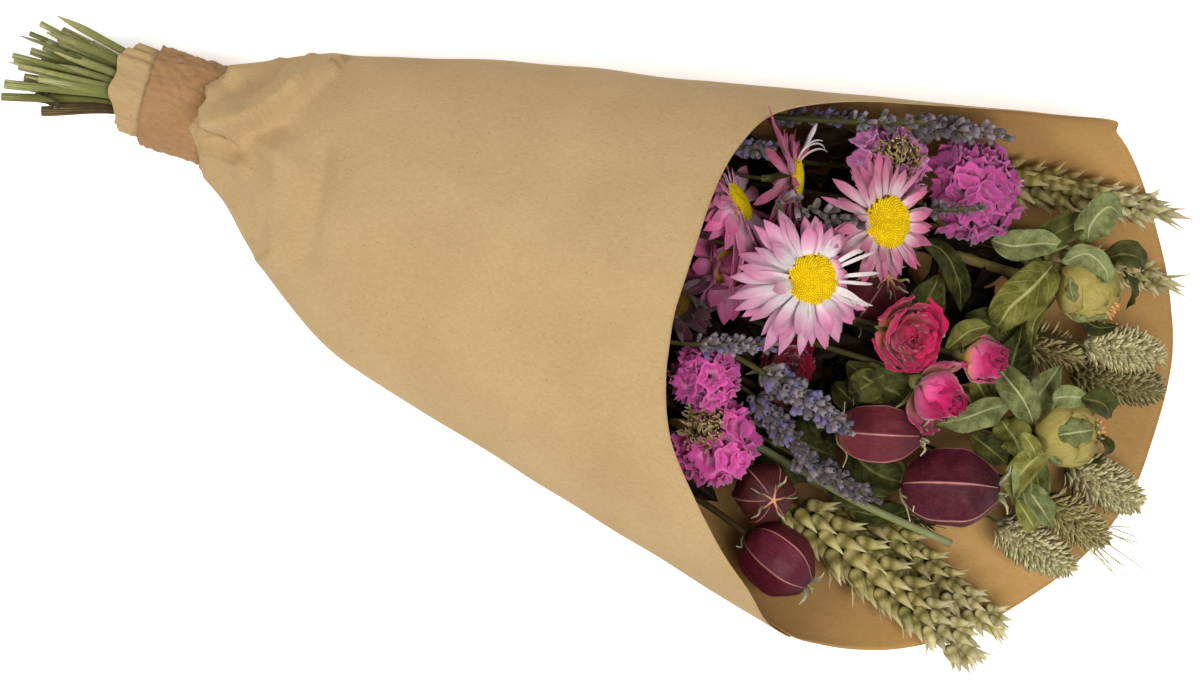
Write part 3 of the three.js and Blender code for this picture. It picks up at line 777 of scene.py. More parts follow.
def daisy(
    name, finish, seed, layers, wide, long=1, tilt=0, close=0, curl=0, pull=(0, 0), bare=None,
    curls=0, way=None, florets=disc_finish, broad=1.0
):
    """Layers count the petals from the inside out. Wide and long scale the petals, and broad the
    disc. Close folds the inner petals over the disc, and curls roll up at the bare side."""
    head = stem(name, [-6, -2], way)
    draws = random.Random(seed)
    outline = widened(DAISY_PETAL, wide)
    petals = blank()
    for i, (ring, height, length, lean) in enumerate(PETAL_LAYERS):
        folded = close * (2 - i) / 2
        whorl(
            petals, draws, layers[i], ring * broad, height, length * long, lean + folded + tilt, outline,
            curl=curl + folded, turn=0.2 + i * 0.27, pull=pull, bare=bare,
            cup=0.16, fold=-0.06, ruffle=0.08, rows=11,
        )
    whorl(
        petals, draws, count=12, ring=4.2, height=-2.4, length=9, tilt=min(0, tilt) - 0.35,
        outline=widened(outline, 0.75), curl=curl, turn=0.2, cup=0.3,
    )
    for i in range(curls):
        angle = (bare or 0) + (i - curls / 2) * 0.26 + draws.uniform(-0.08, 0.08)
        out = level(angle)
        half = 2.2 if i == 1 else draws.uniform(0.5, 0.9)
        narrow = widened(CURLED_PETAL, half)
        rolled = 0.2 if i == 1 else draws.uniform(0.2, 1.6)
        long, twist = draws.uniform(14, 19), draws.gauss(0, 0.7)
        curled = blade(long, narrow, rolled, hook=rolled, rows=12, cup=0.4, twist=twist)
        place = lay_out(out * 7.6 + axis(1.2), out + axis(0.3), (0, 0, 1))
        add(petals, curled, place, 0.5, finish=1)
    piece = finished(name + "_petals", petals, finish, white_petal, place=head, thickness=0.18)
    own(piece, "daisy_petal", name)

    disc = blank()
    lay = place_of(disc)
    bmesh.ops.create_uvsphere(disc, u_segments=32, v_segments=16, radius=1)
    for vert in disc.verts:
        reach = math.hypot(vert.co.x, vert.co.y)
        rise = vert.co.z * DISC_DOME - dimple(reach) if vert.co.z > 0 else vert.co.z * 2
        vert[lay] = (0.2, 0, 0)
        vert.co = vert.co * DISC_RADIUS
        vert.co.z = DISC_FOOT + rise
    floret = blank()
    lay = place_of(floret)
    bmesh.ops.create_cone(floret, cap_ends=True, segments=5, radius1=0.28, radius2=0.33, depth=0.8)
    for vert in floret.verts:
        vert[lay] = (vert.co.z / 0.8 + 0.5, 0, 0)
    places = ([], [])
    for i in range(FLORET_COUNT):
        reach = math.sqrt((i + 0.5) / FLORET_COUNT)
        angle = i * GOLDEN_ANGLE
        out = level(angle) * reach
        z = DISC_FOOT + DISC_DOME * math.sqrt(max(0, 1 - reach**2 * 0.94)) - dimple(reach)
        way = Vector((out.x * 0.9, out.y * 0.9, 1)) + Vector((draws.gauss(0, 0.12), draws.gauss(0, 0.12), 0))
        dark = draws.random() < (0.16 if reach > 0.88 and 1.6 < angle % math.tau < 4.0 else 0)
        at = Vector((out.x * 8.6, out.y * 8.6, z))
        place = aim(at, way, roll=draws.uniform(0, 3), size=draws.uniform(0.85, 1.15))
        places[dark].append((place, draws.uniform(-1, 1)))
    scatter(disc, floret, places[0])
    scatter(disc, floret, places[1], 1)
    below = [axis(z) for z in (-14, -8, -4, -1)]
    foot = rod(below, lambda share: mix(1.4, 6.8, share**2.2), sides=16, rings=12, shade=0.2)
    add(disc, foot, finish=2)
    place = head @ Matrix.Diagonal((broad, broad, 1, 1))
    piece = finished(name + "_disc", disc, florets, brown_floret_and_shade, stem_finish["olive"], place=place)
    own(piece, "daisy_disc", name)


white_petal = petal_finish("white_petal", (238, 228, 224), (240, 230, 228), (226, 204, 206))
pale_pink = petal_finish("pale_pink_petal", (246, 234, 236), (232, 180, 202), (208, 120, 158))
warm_pink = petal_finish("warm_pink_petal", (236, 206, 214), (218, 142, 168), (196, 94, 132))
magenta = petal_finish("magenta_petal", (222, 148, 176), (198, 92, 132), (172, 58, 98))
rose_pink = petal_finish("rose_pink_petal", (240, 204, 220), (226, 134, 174), (210, 88, 142))
deep_pink = petal_finish("deep_pink_petal", (224, 152, 182), (208, 104, 152), (180, 64, 114))
# Painted shade: a darkened copy of the pink petals, for the daisy that lies in shadow deep under the paper's
# rim.
painted_shade_petal = petal_finish("painted_shade_petal_finish", (90, 42, 50), (78, 28, 42), (64, 20, 34))
daisy("daisy_front", pale_pink, 3, (20, 24, 22), 1.08, curl=-0.1, pull=(-0.2, -0.12), bare=0.45, curls=6)
daisy(
    "daisy_right", warm_pink, 4, (18, 20, 19), 0.78, 0.92, curl=0.05, pull=(-0.24, 0.04),
    way=(0.5, 0.17, 0.85), broad=1.1,
)
daisy(
    "daisy_side", magenta, 5, (16, 19, 20), 0.95, 1.25, tilt=-0.4, curl=0.2, pull=(-0.2, 0.2),
    bare=1.57, curls=4,
)
daisy("daisy_left", rose_pink, 6, (17, 21, 24), 1.4, 1.3, tilt=-0.3, curl=-0.3, pull=(0.3, -0.3))
daisy(
    "daisy_deep", deep_pink, 7, (16, 19, 22), 1.6, 1.05, tilt=0.15, close=1.1, curl=0.2,
    way=(0.2, 0.2, 0.95),
)
# The shaded daisy takes the painted-shade petals and the brown florets, which paint its shade.
daisy("daisy_shaded", painted_shade_petal, 8, (10, 12, 14), 1.3, 1.1, tilt=0.4, close=0.4, curl=0.3, florets=brown_floret_and_shade)

# The shredded blades: flat dry grass blades, and one curled withered sheath, that stick out among
# the cut ends behind the tape. Each is laid along its own line with the ribbons of the petals.
BLADE = ((0, 1), (0.5, 1), (0.8, 0.8), (0.93, 0.35), (1, 0.12))
SHREDS = [
    ((-14, 10.5, 27), (-30, 13.6, 29), (-43, 15.8, 28), 1.3),
    ((-14, 7, 29), (-30, 8.3, 31.5), (-44.5, 9.2, 30), 1.6),
    ((-30, 4, 32), (-42, 5, 32), (-53, 5.3, 30), 0.6),
    ((-14, -1, 30), (-34, -3.2, 32), (-54, -4.6, 29), 0.9),
    ((-14, -4, 30), (-32, -6.2, 30.5), (-47, -7.4, 28), 1),
    ((-14, 3, 30.5), (-30, 3.4, 32), (-40, 3.6, 31), 1.4),
    ((-14, 0.5, 30), (-28, 0.2, 32), (-37, 0, 31), 1.1),
]
shreds = blank()
draws = random.Random(12)
for start, middle, end, half in SHREDS:
    line = smooth_line([Vector(start), Vector(middle), Vector(end)], 30)
    shade, twist = draws.uniform(-1, 1), draws.gauss(0, 0.3)
    shred = ribbon(line, widened(BLADE, half), axis(1), fold=-0.45, ruffle=0.12, twist=twist, shade=shade)
    add(shreds, shred)
coil = [
    Vector((-37 - 3 * math.cos(t) - t * 0.5, -11.5 - t * 0.3, 26 + 3.4 * math.sin(t)))
    for t in [k * 0.42 for k in range(15)]
]
SHEATH = ((0, 1.6), (0.5, 3.2), (0.9, 2.4), (1, 1.4))
add(shreds, ribbon(coil, SHEATH, Vector((0, 1, 0)), cup=0.2, ruffle=0.3, shade=0.4), finish=1)
pale_blade = plant_finish(
    "pale_blade", ((0, (106, 110, 58)), (0.5, (138, 138, 82)), (1, (184, 176, 120))),
    depth=0.25, mottle=0.3, bump=0.5,
)
from_neck = Matrix.Translation(NECK) @ Matrix.Scale(MM, 4)
piece = finished("shredded_blades", shreds, pale_blade, stem_finish["olive"], place=from_neck, thickness=0.3)
own(piece, "dry_stem")

# The statice: each cluster is a dome of crinkled papery funnels with five lobes, magenta to lilac
# with paler throats. Two clusters still hold a tuft of narrow straw-coloured calyx blades.
def funnel(draws, reach, depth):
    """One papery flower that opens towards +Z, in millimetres."""
    made = blank()
    lay = place_of(made)
    bmesh.ops.create_grid(made, x_segments=25, y_segments=5, size=0.5)
    phase, bent = draws.uniform(0, 6), Vector((draws.uniform(0, 90), 0, 0))
    for vert in made.verts:
        turn = math.tau * (vert.co.x + 0.5)
        along = vert.co.y + 0.5
        lobe = abs(math.cos(2.5 * turn))
        radius = mix(0.6, reach * (0.76 + 0.3 * lobe), along**1.15)
        out = level(turn)
        waves = 0.6 * math.sin(10 * turn + phase) + 2.6 * noise.noise(bent + out * radius / 1.7)
        crinkle = along**2 * waves + along * 0.9 * noise.noise(bent + out * radius / 0.7)
        vert[lay] = (along, math.cos(5 * turn), 0)
        vert.co = out * (radius + 0.3 * crinkle) + axis(depth * (1 - (1 - along) ** 1.7) + crinkle)
    bmesh.ops.remove_doubles(made, verts=made.verts[:], dist=0.001)
    return made


def statice_finish(name, throat, body, rim):
    stops = ((0, throat), (0.3, throat), (0.6, body), (0.86, body), (1, rim))
    return plant_finish(
        name, stops, streaks=1.6, depth=0.24, mottle=0.3, bump=0.5, roughness=0.7, Sheen_Weight=0.3
    )


calyx_finish = plant_finish(
    "straw_calyx", ((0, (108, 90, 46)), (0.5, (166, 142, 90)), (1, (206, 184, 132))), streaks=3
)
CALYX = ((0, 0.4), (0.3, 0.55), (0.7, 0.4), (1, 0.05))
CALYX_COUNT = 26
TUFT_COUNT = 150


def leaning(turn, lean):
    """The direction that leans off Z, towards a turn round it."""
    return Vector((math.sin(lean) * math.cos(turn), math.sin(lean) * math.sin(turn), math.cos(lean)))


def astray(draws, amount):
    """A small random step in any direction."""
    return Vector([draws.gauss(0, amount) for _ in range(3)])


def statice(name, finish, seed, tuft=None, swell=1, count=34):
    """The tuft is its place in millimetres from the neck and the way it faces."""
    head = stem(name, [-8])
    draws = random.Random(seed)
    made = blank()
    for i in range(count):
        share = (i + 0.5) / count
        lean = math.acos(1 - 1.3 * share)
        turn = i * GOLDEN_ANGLE + draws.uniform(-0.2, 0.2)
        out = leaning(turn, lean)
        at = axis(-4) + out * draws.uniform(5.4, 7.6) * swell
        way = out + astray(draws, 0.16)
        if tuft and (head @ (at + out * 5) - NECK - Vector(tuft[0]) * MM).length < 7.5 * MM:
            continue
        flower = funnel(draws, draws.uniform(4.6, 6.4), draws.uniform(4.5, 6.5))
        add(made, flower, aim(at, way, turn, draws.uniform(0.85, 1.1)), draws.uniform(-1, 1))
    bmesh.ops.transform(made, matrix=head, verts=made.verts[:])
    base = blank()
    for i in range(CALYX_COUNT):
        turn = math.tau * (i + draws.uniform(-0.3, 0.3)) / CALYX_COUNT
        out = leaning(turn, draws.uniform(0.5, 1.5))
        calyx = blade(draws.uniform(8, 11), CALYX, 0.3, cup=0.6, shade=draws.uniform(-1, 1))
        add(base, calyx, head @ lay_out(axis(-13), out, (0, 0, 1)))
    if tuft:
        middle = aim(NECK + Vector(tuft[0]) * MM, tuft[1], 0, MM)
        for i in range(TUFT_COUNT):
            turn, reach = i * GOLDEN_ANGLE, math.sqrt(i / TUFT_COUNT)
            out = level(turn) * reach
            way = Vector((out.x * 0.8, out.y * 0.8, 1)) + astray(draws, 0.2)
            long, curl = draws.uniform(4.5, 7), draws.uniform(0.2, 1.3)
            calyx = blade(long, CALYX, curl, rows=5, cup=0.6, columns=2, shade=draws.uniform(-1, 1))
            add(base, calyx, middle @ lay_out(out * 6.5 + axis(-4), way, (-out.x, -out.y, 0.1)))
    add(made, base, finish=1)
    own(finished(name + "_flowers", made, finish, calyx_finish, thickness=0.13), "statice_flower", name)


statice(
    "statice_upper_right",
    statice_finish("purple_statice", (208, 136, 180), (186, 74, 142), (196, 98, 156)), 21,
    swell=1.2, count=46,
)
statice(
    "statice_upper",
    statice_finish("lilac_statice", (226, 176, 206), (202, 112, 170), (214, 148, 190)), 22,
    ((246, 56, 70), (0.1, -0.2, 1)), 1.15, 40,
)
pink_statice = statice_finish("pink_statice", (234, 156, 204), (206, 76, 154), (214, 98, 168))
statice("statice_left", pink_statice, 23)
statice("statice_lower_left", pink_statice, 24, ((211, -49, 71), (-0.4, 0.1, 1)), 1.05, 38)

# The lavender: dried spikes of short ribbed tubes in whorls round a thin stem. They are grey-violet
# with a green-grey base and a hollow mouth painted near black as shade, and a few still hold a
# blue-violet flower.
BUD = (
    (0.35, 0, 0), (0.8, 0.8, 0.15), (1.09, 2.4, 0.46), (0.98, 4.2, 0.78), (0.72, 4.7, 0.86),
    (0.45, 4.4, 0.96), (0.25, 3.8, 1),
)


def turned(profile, sides, ribs=0, count=5):
    """A closed turned form: profile rows are radius, height along Z and the place along for the finish."""
    last = len(profile) - 1
    made = column(sides, last)
    lay = place_of(made)
    for vert in made.verts:
        radius, height, along = profile[round((vert.co.z + 0.5) * last)]
        turn = math.atan2(vert.co.y, vert.co.x)
        wide = radius * (1 + ribs * math.cos(turn * count))
        vert[lay] = (along, math.cos(turn * count), 0)
        vert.co = Vector((vert.co.x * wide, vert.co.y * wide, height))
    return made


def bud_finish(name, base, body, lip):
    # The last two stops are painted shade: they darken the hollow mouth at the bud's tip to near black.
    stops = ((0, base), (0.25, base), (0.5, body), (0.8, lip), (0.88, (70, 62, 74)), (1, (30, 24, 34)))
    return plant_finish(
        name, stops, streaks=3, depth=0.4, mottle=0.5, bump=0.6, roughness=0.85,
        Sheen_Weight=0.25, Sheen_Roughness=0.6,
    )


grey_bud = bud_finish("grey_lavender", (98, 88, 62), (98, 84, 90), (144, 128, 132))
violet_bud = bud_finish("violet_lavender", (86, 76, 80), (82, 70, 112), (124, 112, 156))
dull_bud = bud_finish("dull_lavender", (78, 66, 44), (74, 60, 66), (116, 100, 102))


def lavender_spike(made, head, draws, whorls, each, first):
    """Whorls of buds along the axis of a head, in two finishes that follow each other from first."""
    places = ([], [])
    for i in range(whorls):
        share = i / (whorls - 1)
        z = -16.5 + 27.5 * share
        for j in range(each):
            if draws.random() < 0.12:
                continue
            turn = math.tau * (j + draws.uniform(-0.5, 0.5)) / each + i * 0.5
            out = leaning(turn, mix(0.95, 0.4, share) + draws.gauss(0, 0.34))
            at = level(turn) + axis(z + draws.gauss(0, 1.3))
            size = draws.uniform(0.7, 1.25) * (1.1 - 0.3 * share)
            chosen = places[draws.random() < 0.25]
            chosen.append((head @ aim(at, out, draws.uniform(0, 6), size), draws.uniform(-1, 1)))
    bud = turned(BUD, 8, 0.13, 4)
    scatter(made, bud.copy(), places[0], first)
    scatter(made, bud, places[1], first + 1)


def lavender(name, seed, finishes, whorls, each):
    head, made = stalk(name, [-12, 0, 12])
    lavender_spike(made, head, random.Random(seed), whorls, each, 1)
    own(finished(name + "_spike", made, tone_of(name), *finishes), "lavender_bud", name)


lavender("lavender_upper", 31, (dull_bud, violet_bud), 5, 12)
lavender("lavender_middle", 32, (dull_bud, grey_bud), 4, 14)
lavender("lavender_right", 33, (grey_bud, dull_bud), 8, 12)
lavender("lavender_dark", 34, (dull_bud, violet_bud), 12, 10)
lavender("lavender_thin", 35, (dull_bud, grey_bud), 5, 10)
lavender("lavender_rim", 36, (grey_bud, violet_bud), 12, 9)
lavender("lavender_violet", 37, (grey_bud, violet_bud), 14, 12)
lavender("lavender_low", 38, (dull_bud, violet_bud), 13, 11)
lavender("lavender_lowest", 39, (dull_bud, grey_bud), 13, 10)
# A ninth spike's thin tip lies loose between the two large daisies.
loose_spike = blank()
loose_head = faced(NECK + Vector((228, 30, 86)) * MM, 0.9 * MM, (1, 0.03, 0.12))
lavender_spike(loose_spike, loose_head, random.Random(40), 10, 5, 0)
own(finished("loose_lavender", loose_spike, dull_bud, grey_bud), "lavender_bud")

# The nigella pods: inflated dried seed capsules, satin burgundy with six raised tan-pink ribs. They
# end in a crown of curled horns and have a few thread-like bracts at their base.
POD = [
    (-18.6, 1.2), (-17.8, 4.6), (-15.8, 8.4), (-11.8, 11.9), (-5, 13.9), (1, 14.1),
    (6, 12.8), (10, 10), (12.8, 6.8), (15, 4.2),
]
ROUND_POD = [
    (-18.6, 1.2), (-17, 5), (-14, 8.6), (-8, 12.5), (0, 14.1), (7, 12.4), (11, 9), (13.4, 5), (14.3, 0.3),
]


def pod_finish(name, base, body, end):
    """Satin skin: along runs from the stem to the crown, and offset is 0 on a rib and 1 between two."""
    made, tree, shader = new_finish(name, roughness=0.5, specular=0.24)
    along, offset, shade = parts_of_place(tree)
    cloud, grain = cloudy(tree, 230, 6, 0.7), cloudy(tree, 1300, 3)
    run = calc("ADD", along, calc("MULTIPLY_ADD", cloud, 0.4, -0.2))
    tone = ramp(run, (0.02, base), (0.24, body), (0.62, body), (0.95, end))
    tone = laid_over(calc("MULTIPLY_ADD", cloud, 2.2, -0.95, clamp=True), tone, (118, 48, 62))
    lines = node(tree, "CombineXYZ", X=calc("MULTIPLY", along, 3), Y=calc("MULTIPLY", offset, 5), Z=shade)
    streak = node(tree, "TexNoise", Vector=lines, Scale=3, Detail=6, Roughness=0.7)
    tone = laid_over(calc("MULTIPLY_ADD", streak, -2.4, 1.45, clamp=True), tone, (46, 12, 26))
    dust = calc("MULTIPLY_ADD", grain, 3, -1.75, clamp=True)
    tone = laid_over(calc("MULTIPLY", dust, 0.4), tone, (154, 92, 92))
    edge = calc("MULTIPLY_ADD", cloud, 0.06, offset)
    edge = ramp(edge, (0.05, (255, 255, 255)), (0.1, (0, 0, 0)))
    tone = laid_over(calc("MULTIPLY", edge, 0.85), tone, (206, 138, 128))
    tree.links.new(calc("MULTIPLY_ADD", cloud, 0.3, 0.34), shader.inputs["Roughness"])
    cover(shader, tone, calc("MULTIPLY_ADD", grain, 0.25, cloud), strength=0.25, depth=0.0008)
    return made


pod_skin = pod_finish("burgundy_pod", (96, 34, 46), (80, 22, 38), (58, 20, 34))
rosy_pod_skin = pod_finish("rosy_pod", (176, 108, 84), (118, 46, 52), (86, 30, 42))
red_pod_skin = pod_finish("crimson_pod", (112, 32, 54), (112, 30, 52), (78, 26, 42))
brown_pod_skin = pod_finish("brown_pod", (140, 92, 56), (100, 50, 40), (76, 36, 32))
horn_finish = plant_finish(
    "dry_horn", ((0, (120, 92, 66)), (0.4, (140, 138, 102)), (1, (206, 196, 160))), streaks=2
)
star_finish = plant_finish(
    "tan_star", ((0, (226, 176, 128)), (0.6, (190, 130, 90)), (1, (120, 70, 52))), streaks=3, depth=0.2
)


def horn_radius(share):
    return mix(1.15, 0.3, share) * (1 + 0.2 * math.sin(share * 19))


def nigella(name, skin, seed, end_on=False, turn=180, horns=6, slim=1, way=None):
    """Turn is where one rib runs, in degrees round the pod. The top of a level pod is at 180."""
    head = stem(name, [-17], way)
    draws = random.Random(seed)
    turn = math.radians(turn)
    made = blank()
    lay = place_of(made)
    bmesh.ops.create_uvsphere(made, u_segments=72, v_segments=36, radius=1)
    profile = ROUND_POD if end_on else POD
    low, high = profile[0][0], profile[-1][0]
    for vert in made.verts:
        share = math.acos(max(-1, min(1, -vert.co.z))) / math.pi
        z = mix(low, high, smooth(0, 1, share) * 0.45 + share * 0.55)
        angle = math.atan2(vert.co.y, vert.co.x)
        offset = abs(((angle - turn) * 6 / math.pi + 1) % 2 - 1)
        rib = math.exp(-((offset / 0.12) ** 2))
        radius = read_rows(profile, z) if 0.001 < share < 0.999 else 0
        facet = math.cos(math.pi / 6) / math.cos(math.pi / 6 * (1 - offset))
        radius *= mix(1.03, facet, 0.6)
        radius += 0.4 * rib * smooth(0, 0.15, share) * (radius > 0)
        dent = 0.5 * noise.noise(Vector((z / 5, 3 * math.cos(angle), 3 * math.sin(angle) + seed)))
        radius += dent * (radius > 2)
        vert[lay] = (share, offset, seed)
        vert.co = level(angle) * radius * slim + axis(z)
    trim = blank()
    for i in range(horns):
        out = level(turn + math.tau * (i + 0.5 * (not end_on) + draws.uniform(-0.15, 0.15)) / horns)
        side = Vector((-out.y, out.x, 0)) * draws.uniform(-1.5, 1.5)
        start, top = (6.5, 12.2) if end_on else (2.6, 13.4)
        points = [
            out * (start - 2) + axis(top - 1),
            out * (start + 1) + axis(top + 2),
            out * (start + draws.uniform(2.5, 4)) + side * 0.6 + axis(top + draws.uniform(3, 4.5)),
            out * (start + draws.uniform(4.5, 6.5)) + side + axis(top + draws.uniform(1.5, 5)),
        ]
        horn = rod(points, horn_radius, sides=6, rings=12, shade=draws.uniform(-1, 1), flat=0.55)
        add(trim, horn)
    for _ in range(5):
        out = level(draws.uniform(0, math.tau))
        points = [out * 1.2 + axis(-19), out * 5 + axis(-18.5)]
        points.append(out * draws.uniform(8, 11) + axis(draws.uniform(-17, -13)))
        points.append(points[-1] + out * 3 + Vector([draws.uniform(-2.5, 2.5) for _ in range(3)]))
        shade = draws.uniform(-1, 1)
        add(trim, rod(points, lambda share: mix(0.5, 0.2, share), sides=5, rings=12, shade=shade))
    if end_on:
        for i in range(horns):
            out = level(turn + math.tau * i / horns)
            points = [axis(14.6), out * 3.4 + axis(14.1), out * 7.2 + axis(12.4)]
            shade = draws.uniform(-1, 1)
            ray = rod(points, lambda share: mix(0.95, 0.5, share), sides=6, rings=8, shade=shade, flat=0.6)
            add(made, ray, finish=1)
    add(made, trim, finish=2)
    own(finished(name + "_pod", made, skin, star_finish, horn_finish, place=head), "nigella_pod", name)


nigella("nigella_large", pod_skin, 41, turn=175, way=(0.95, 0.27, 0.15))
nigella("nigella_middle", rosy_pod_skin, 42, turn=185, slim=0.9, way=(0.96, 0.25, 0.2))
nigella("nigella_low", red_pod_skin, 43, turn=200)
nigella("nigella_end_on", brown_pod_skin, 44, True, 25, 5)
nigella("nigella_dark", rosy_pod_skin, 45, True, 10, 8, way=(0.2, 0.6, 0.77))

# The roses: small dried roses. Broad thin petals wrap round each other from a tight middle, red-pink
# at their rims and cream to yellow at their roots, in a cup of narrow green sepals.
ROSE_BASE = 1.2


def rose_petal(belly, height, spread, close, flare, draws, shade):
    """A petal wrapped round Z. Close turns its top inwards, flare turns its rim outwards."""
    shift = Vector((draws.uniform(0, 90), 0, 0))

    def point_at(across, along):
        rounded = 0.45 + 0.55 * math.sin(math.pi * min(1, along * 1.15) ** 0.8) if along < 0.87 else 1
        wide = spread * rounded * (1 - 0.25 * smooth(0.75, 1, along))
        turn = across * wide / 2
        radius = mix(ROSE_BASE, belly, math.sin(math.pi / 2 * min(1, along * 1.6)))
        radius -= close * smooth(0.4, 1, along) * belly
        radius += flare * along**4
        crinkle = noise.noise(shift + Vector((across * 2.2, along * 3, 0)))
        crinkle += 0.5 * noise.noise(shift + Vector((across * 6, along * 7, 0)))
        radius += crinkle * 1.4 * along
        top = height * (1 - 0.16 * across * across * along) - 0.6 * abs(flare) * along**6
        z = top * along + 0.5 * math.sin(across * 7 + shift.x) * along**3
        return level(turn) * radius + axis(z)

    return woven(12, 11, shade, point_at)


def rose_finish(name, root, body, rim):
    brink = [c * 0.862 - 1.9 for c in rim]
    stops = ((0, root), (0.22, root), (0.52, body), (0.8, rim), (1, brink))
    return plant_finish(
        name, stops, streaks=3.2, mottle=0.3, bump=0.5, roughness=0.62, Sheen_Weight=0.4, Sheen_Roughness=0.4
    )


open_rose = rose_finish("open_rose", (218, 164, 116), (226, 88, 122), (208, 34, 92))
pink_rose = rose_finish("pink_rose", (208, 140, 120), (216, 88, 138), (196, 30, 96))
yellow_rose = rose_finish("yellow_rose", (238, 190, 56), (218, 100, 142), (190, 40, 100))
crimson_rose = rose_finish("crimson_rose", (130, 44, 46), (150, 16, 48), (128, 8, 40))
SEPAL = ((0, 1.3), (0.3, 1.7), (0.7, 0.8), (1, 0.1))
sepal_finish = plant_finish("green_sepal", ((0, (110, 112, 60)), (1, (150, 142, 92))), streaks=4)


def rose(name, finish, seed, grow, rows):
    """Rows of petals: count, radius, height, how far round each reaches, close and flare."""
    head = stem(name, [-10])
    draws = random.Random(seed)
    made = blank()
    for row, (count, radius, height, spread, close, flare) in enumerate(rows):
        for i in range(count):
            turn = math.tau * (i + draws.uniform(-0.15, 0.15)) / count + row * 0.8 + seed
            size = draws.uniform(0.9, 1.08)
            petal = rose_petal(
                radius * size, height * draws.uniform(0.92, 1.06), spread, close + draws.gauss(0, 0.03),
                flare * draws.uniform(0.6, 1.3), draws, draws.uniform(-1, 1),
            )
            place = Matrix.Translation((0, 0, -9.5)) @ Matrix.Rotation(turn, 4, "Z") @ Matrix.Scale(grow, 4)
            add(made, petal, place @ Matrix.Rotation(draws.gauss(0, 0.07), 4, "Y"))
    own(finished(name + "_petals", made, finish, place=head, thickness=0.16), "rose_petal", name)
    middle = [axis(z) for z in (-14, -11.5, -9, -7)]
    cup = rod(middle, lambda share: mix(1.3, 3.6, math.sin(share * 2.2)), sides=12, rings=10, shade=0.1)
    for i in range(5):
        turn = math.tau * i / 5 + seed
        out = level(turn) + axis(0.35 + draws.uniform(-0.3, 0.4))
        long, curl = draws.uniform(8, 12), draws.uniform(-0.9, 0.6)
        sepal = blade(long, SEPAL, curl, cup=0.3, shade=draws.uniform(-1, 1))
        add(cup, sepal, lay_out(out * 2.6 + axis(-10.5), out, (0, 0, 1)))
    own(finished(name + "_sepals", cup, sepal_finish, place=head), "rose_petal", name)


rose("rose_open", open_rose, 51, 0.88, (
    (3, 2.6, 15, 2.6, 0.25, 0.2), (4, 4.6, 16, 2.2, 0.1, 0.8), (5, 7, 16.5, 1.9, 0, 1.6),
    (5, 9.2, 15.5, 1.7, 0, 2.4), (4, 11.2, 12.5, 1.5, -0.02, 2.6),
))
rose("rose_red_bud", pink_rose, 52, 1.2, (
    (3, 3, 17.5, 3.2, 0.55, 0), (3, 6, 18, 2.9, 0.6, 0.1), (4, 8.2, 17.5, 2.5, 0.55, 0.2),
    (3, 9.6, 16, 2.3, 0.4, 0.3), (2, 10.8, 14, 1.6, 0.05, 1.6),
))
rose("rose_yellow_bud", yellow_rose, 53, 1.12, (
    (3, 3, 18, 3.2, 0.5, 0), (4, 6, 19, 2.6, 0.5, 0.2), (4, 8, 18.5, 2.3, 0.4, 0.5),
    (4, 9.4, 16.5, 1.9, 0.25, 0.6),
))
rose("rose_crimson", crimson_rose, 54, 1, (
    (3, 3, 14, 2.8, 0.3, 0.3), (4, 6, 15, 2.2, 0.15, 0.8), (5, 9, 14.5, 1.8, 0.05, 1.6),
    (5, 12, 12, 1.7, 0, 2),
))

# The wheat ears: bearded only at the tip. Spikelets alternate on two sides of a zigzag axis, each
# with plump round kernels between pointed boat-shaped glumes, green-straw to golden at the tip.
FLORET = (
    (0.4, 0, 0), (1.8, 0.5, 0.06), (2.5, 1.8, 0.15), (2.6, 3.2, 0.25), (2.2, 4.8, 0.4), (1.65, 6.4, 0.55),
    (1.1, 8, 0.72), (0.6, 9.6, 0.86), (0.1, 11.4, 1),
)
GLUME = ((0, 1.3), (0.25, 2), (0.5, 1.8), (0.75, 0.9), (0.88, 0.3), (1, 0.06))


def wheat_finish(name, green, pale, gold):
    stops = (
        (0, green), (0.14, pale), (0.26, green), (0.34, green), (0.5, pale), (0.8, gold),
        (1, (214, 200, 152)),
    )
    return plant_finish(name, stops, streaks=6, depth=0.24, mottle=0.35, bump=0.45, roughness=0.7)


green_wheat = wheat_finish("green_wheat", (116, 104, 52), (176, 162, 102), (194, 180, 126))
gold_wheat = wheat_finish("gold_wheat", (150, 136, 80), (196, 184, 134), (214, 202, 156))
kernel_stops = (
    (0, (96, 86, 40)), (0.3, (158, 146, 88)), (0.78, (190, 176, 120)), (0.9, (176, 160, 104)),
    (1, (84, 70, 34)),
)
kernel_finish = plant_finish("wheat_kernel", kernel_stops, streaks=3, depth=0.26, mottle=0.3, roughness=0.66)
# The five florets of a spikelet on its outer side: where each sits, the way it grows, and if it
# leans out with the spikelet.
SPIKELET = (
    ((3.4, 1.9, -0.6), (0.24, 0.12, 1), True), ((3.4, -1.9, -0.6), (0.24, -0.12, 1), True),
    ((1.6, 0, 3.4), (0.16, 0, 1), True), ((0.5, 3.5, 2.2), (0.16, 0.2, 1), False),
    ((0.5, -3.5, 2.2), (0.16, -0.2, 1), False),
)
TIP_AWNS = 11


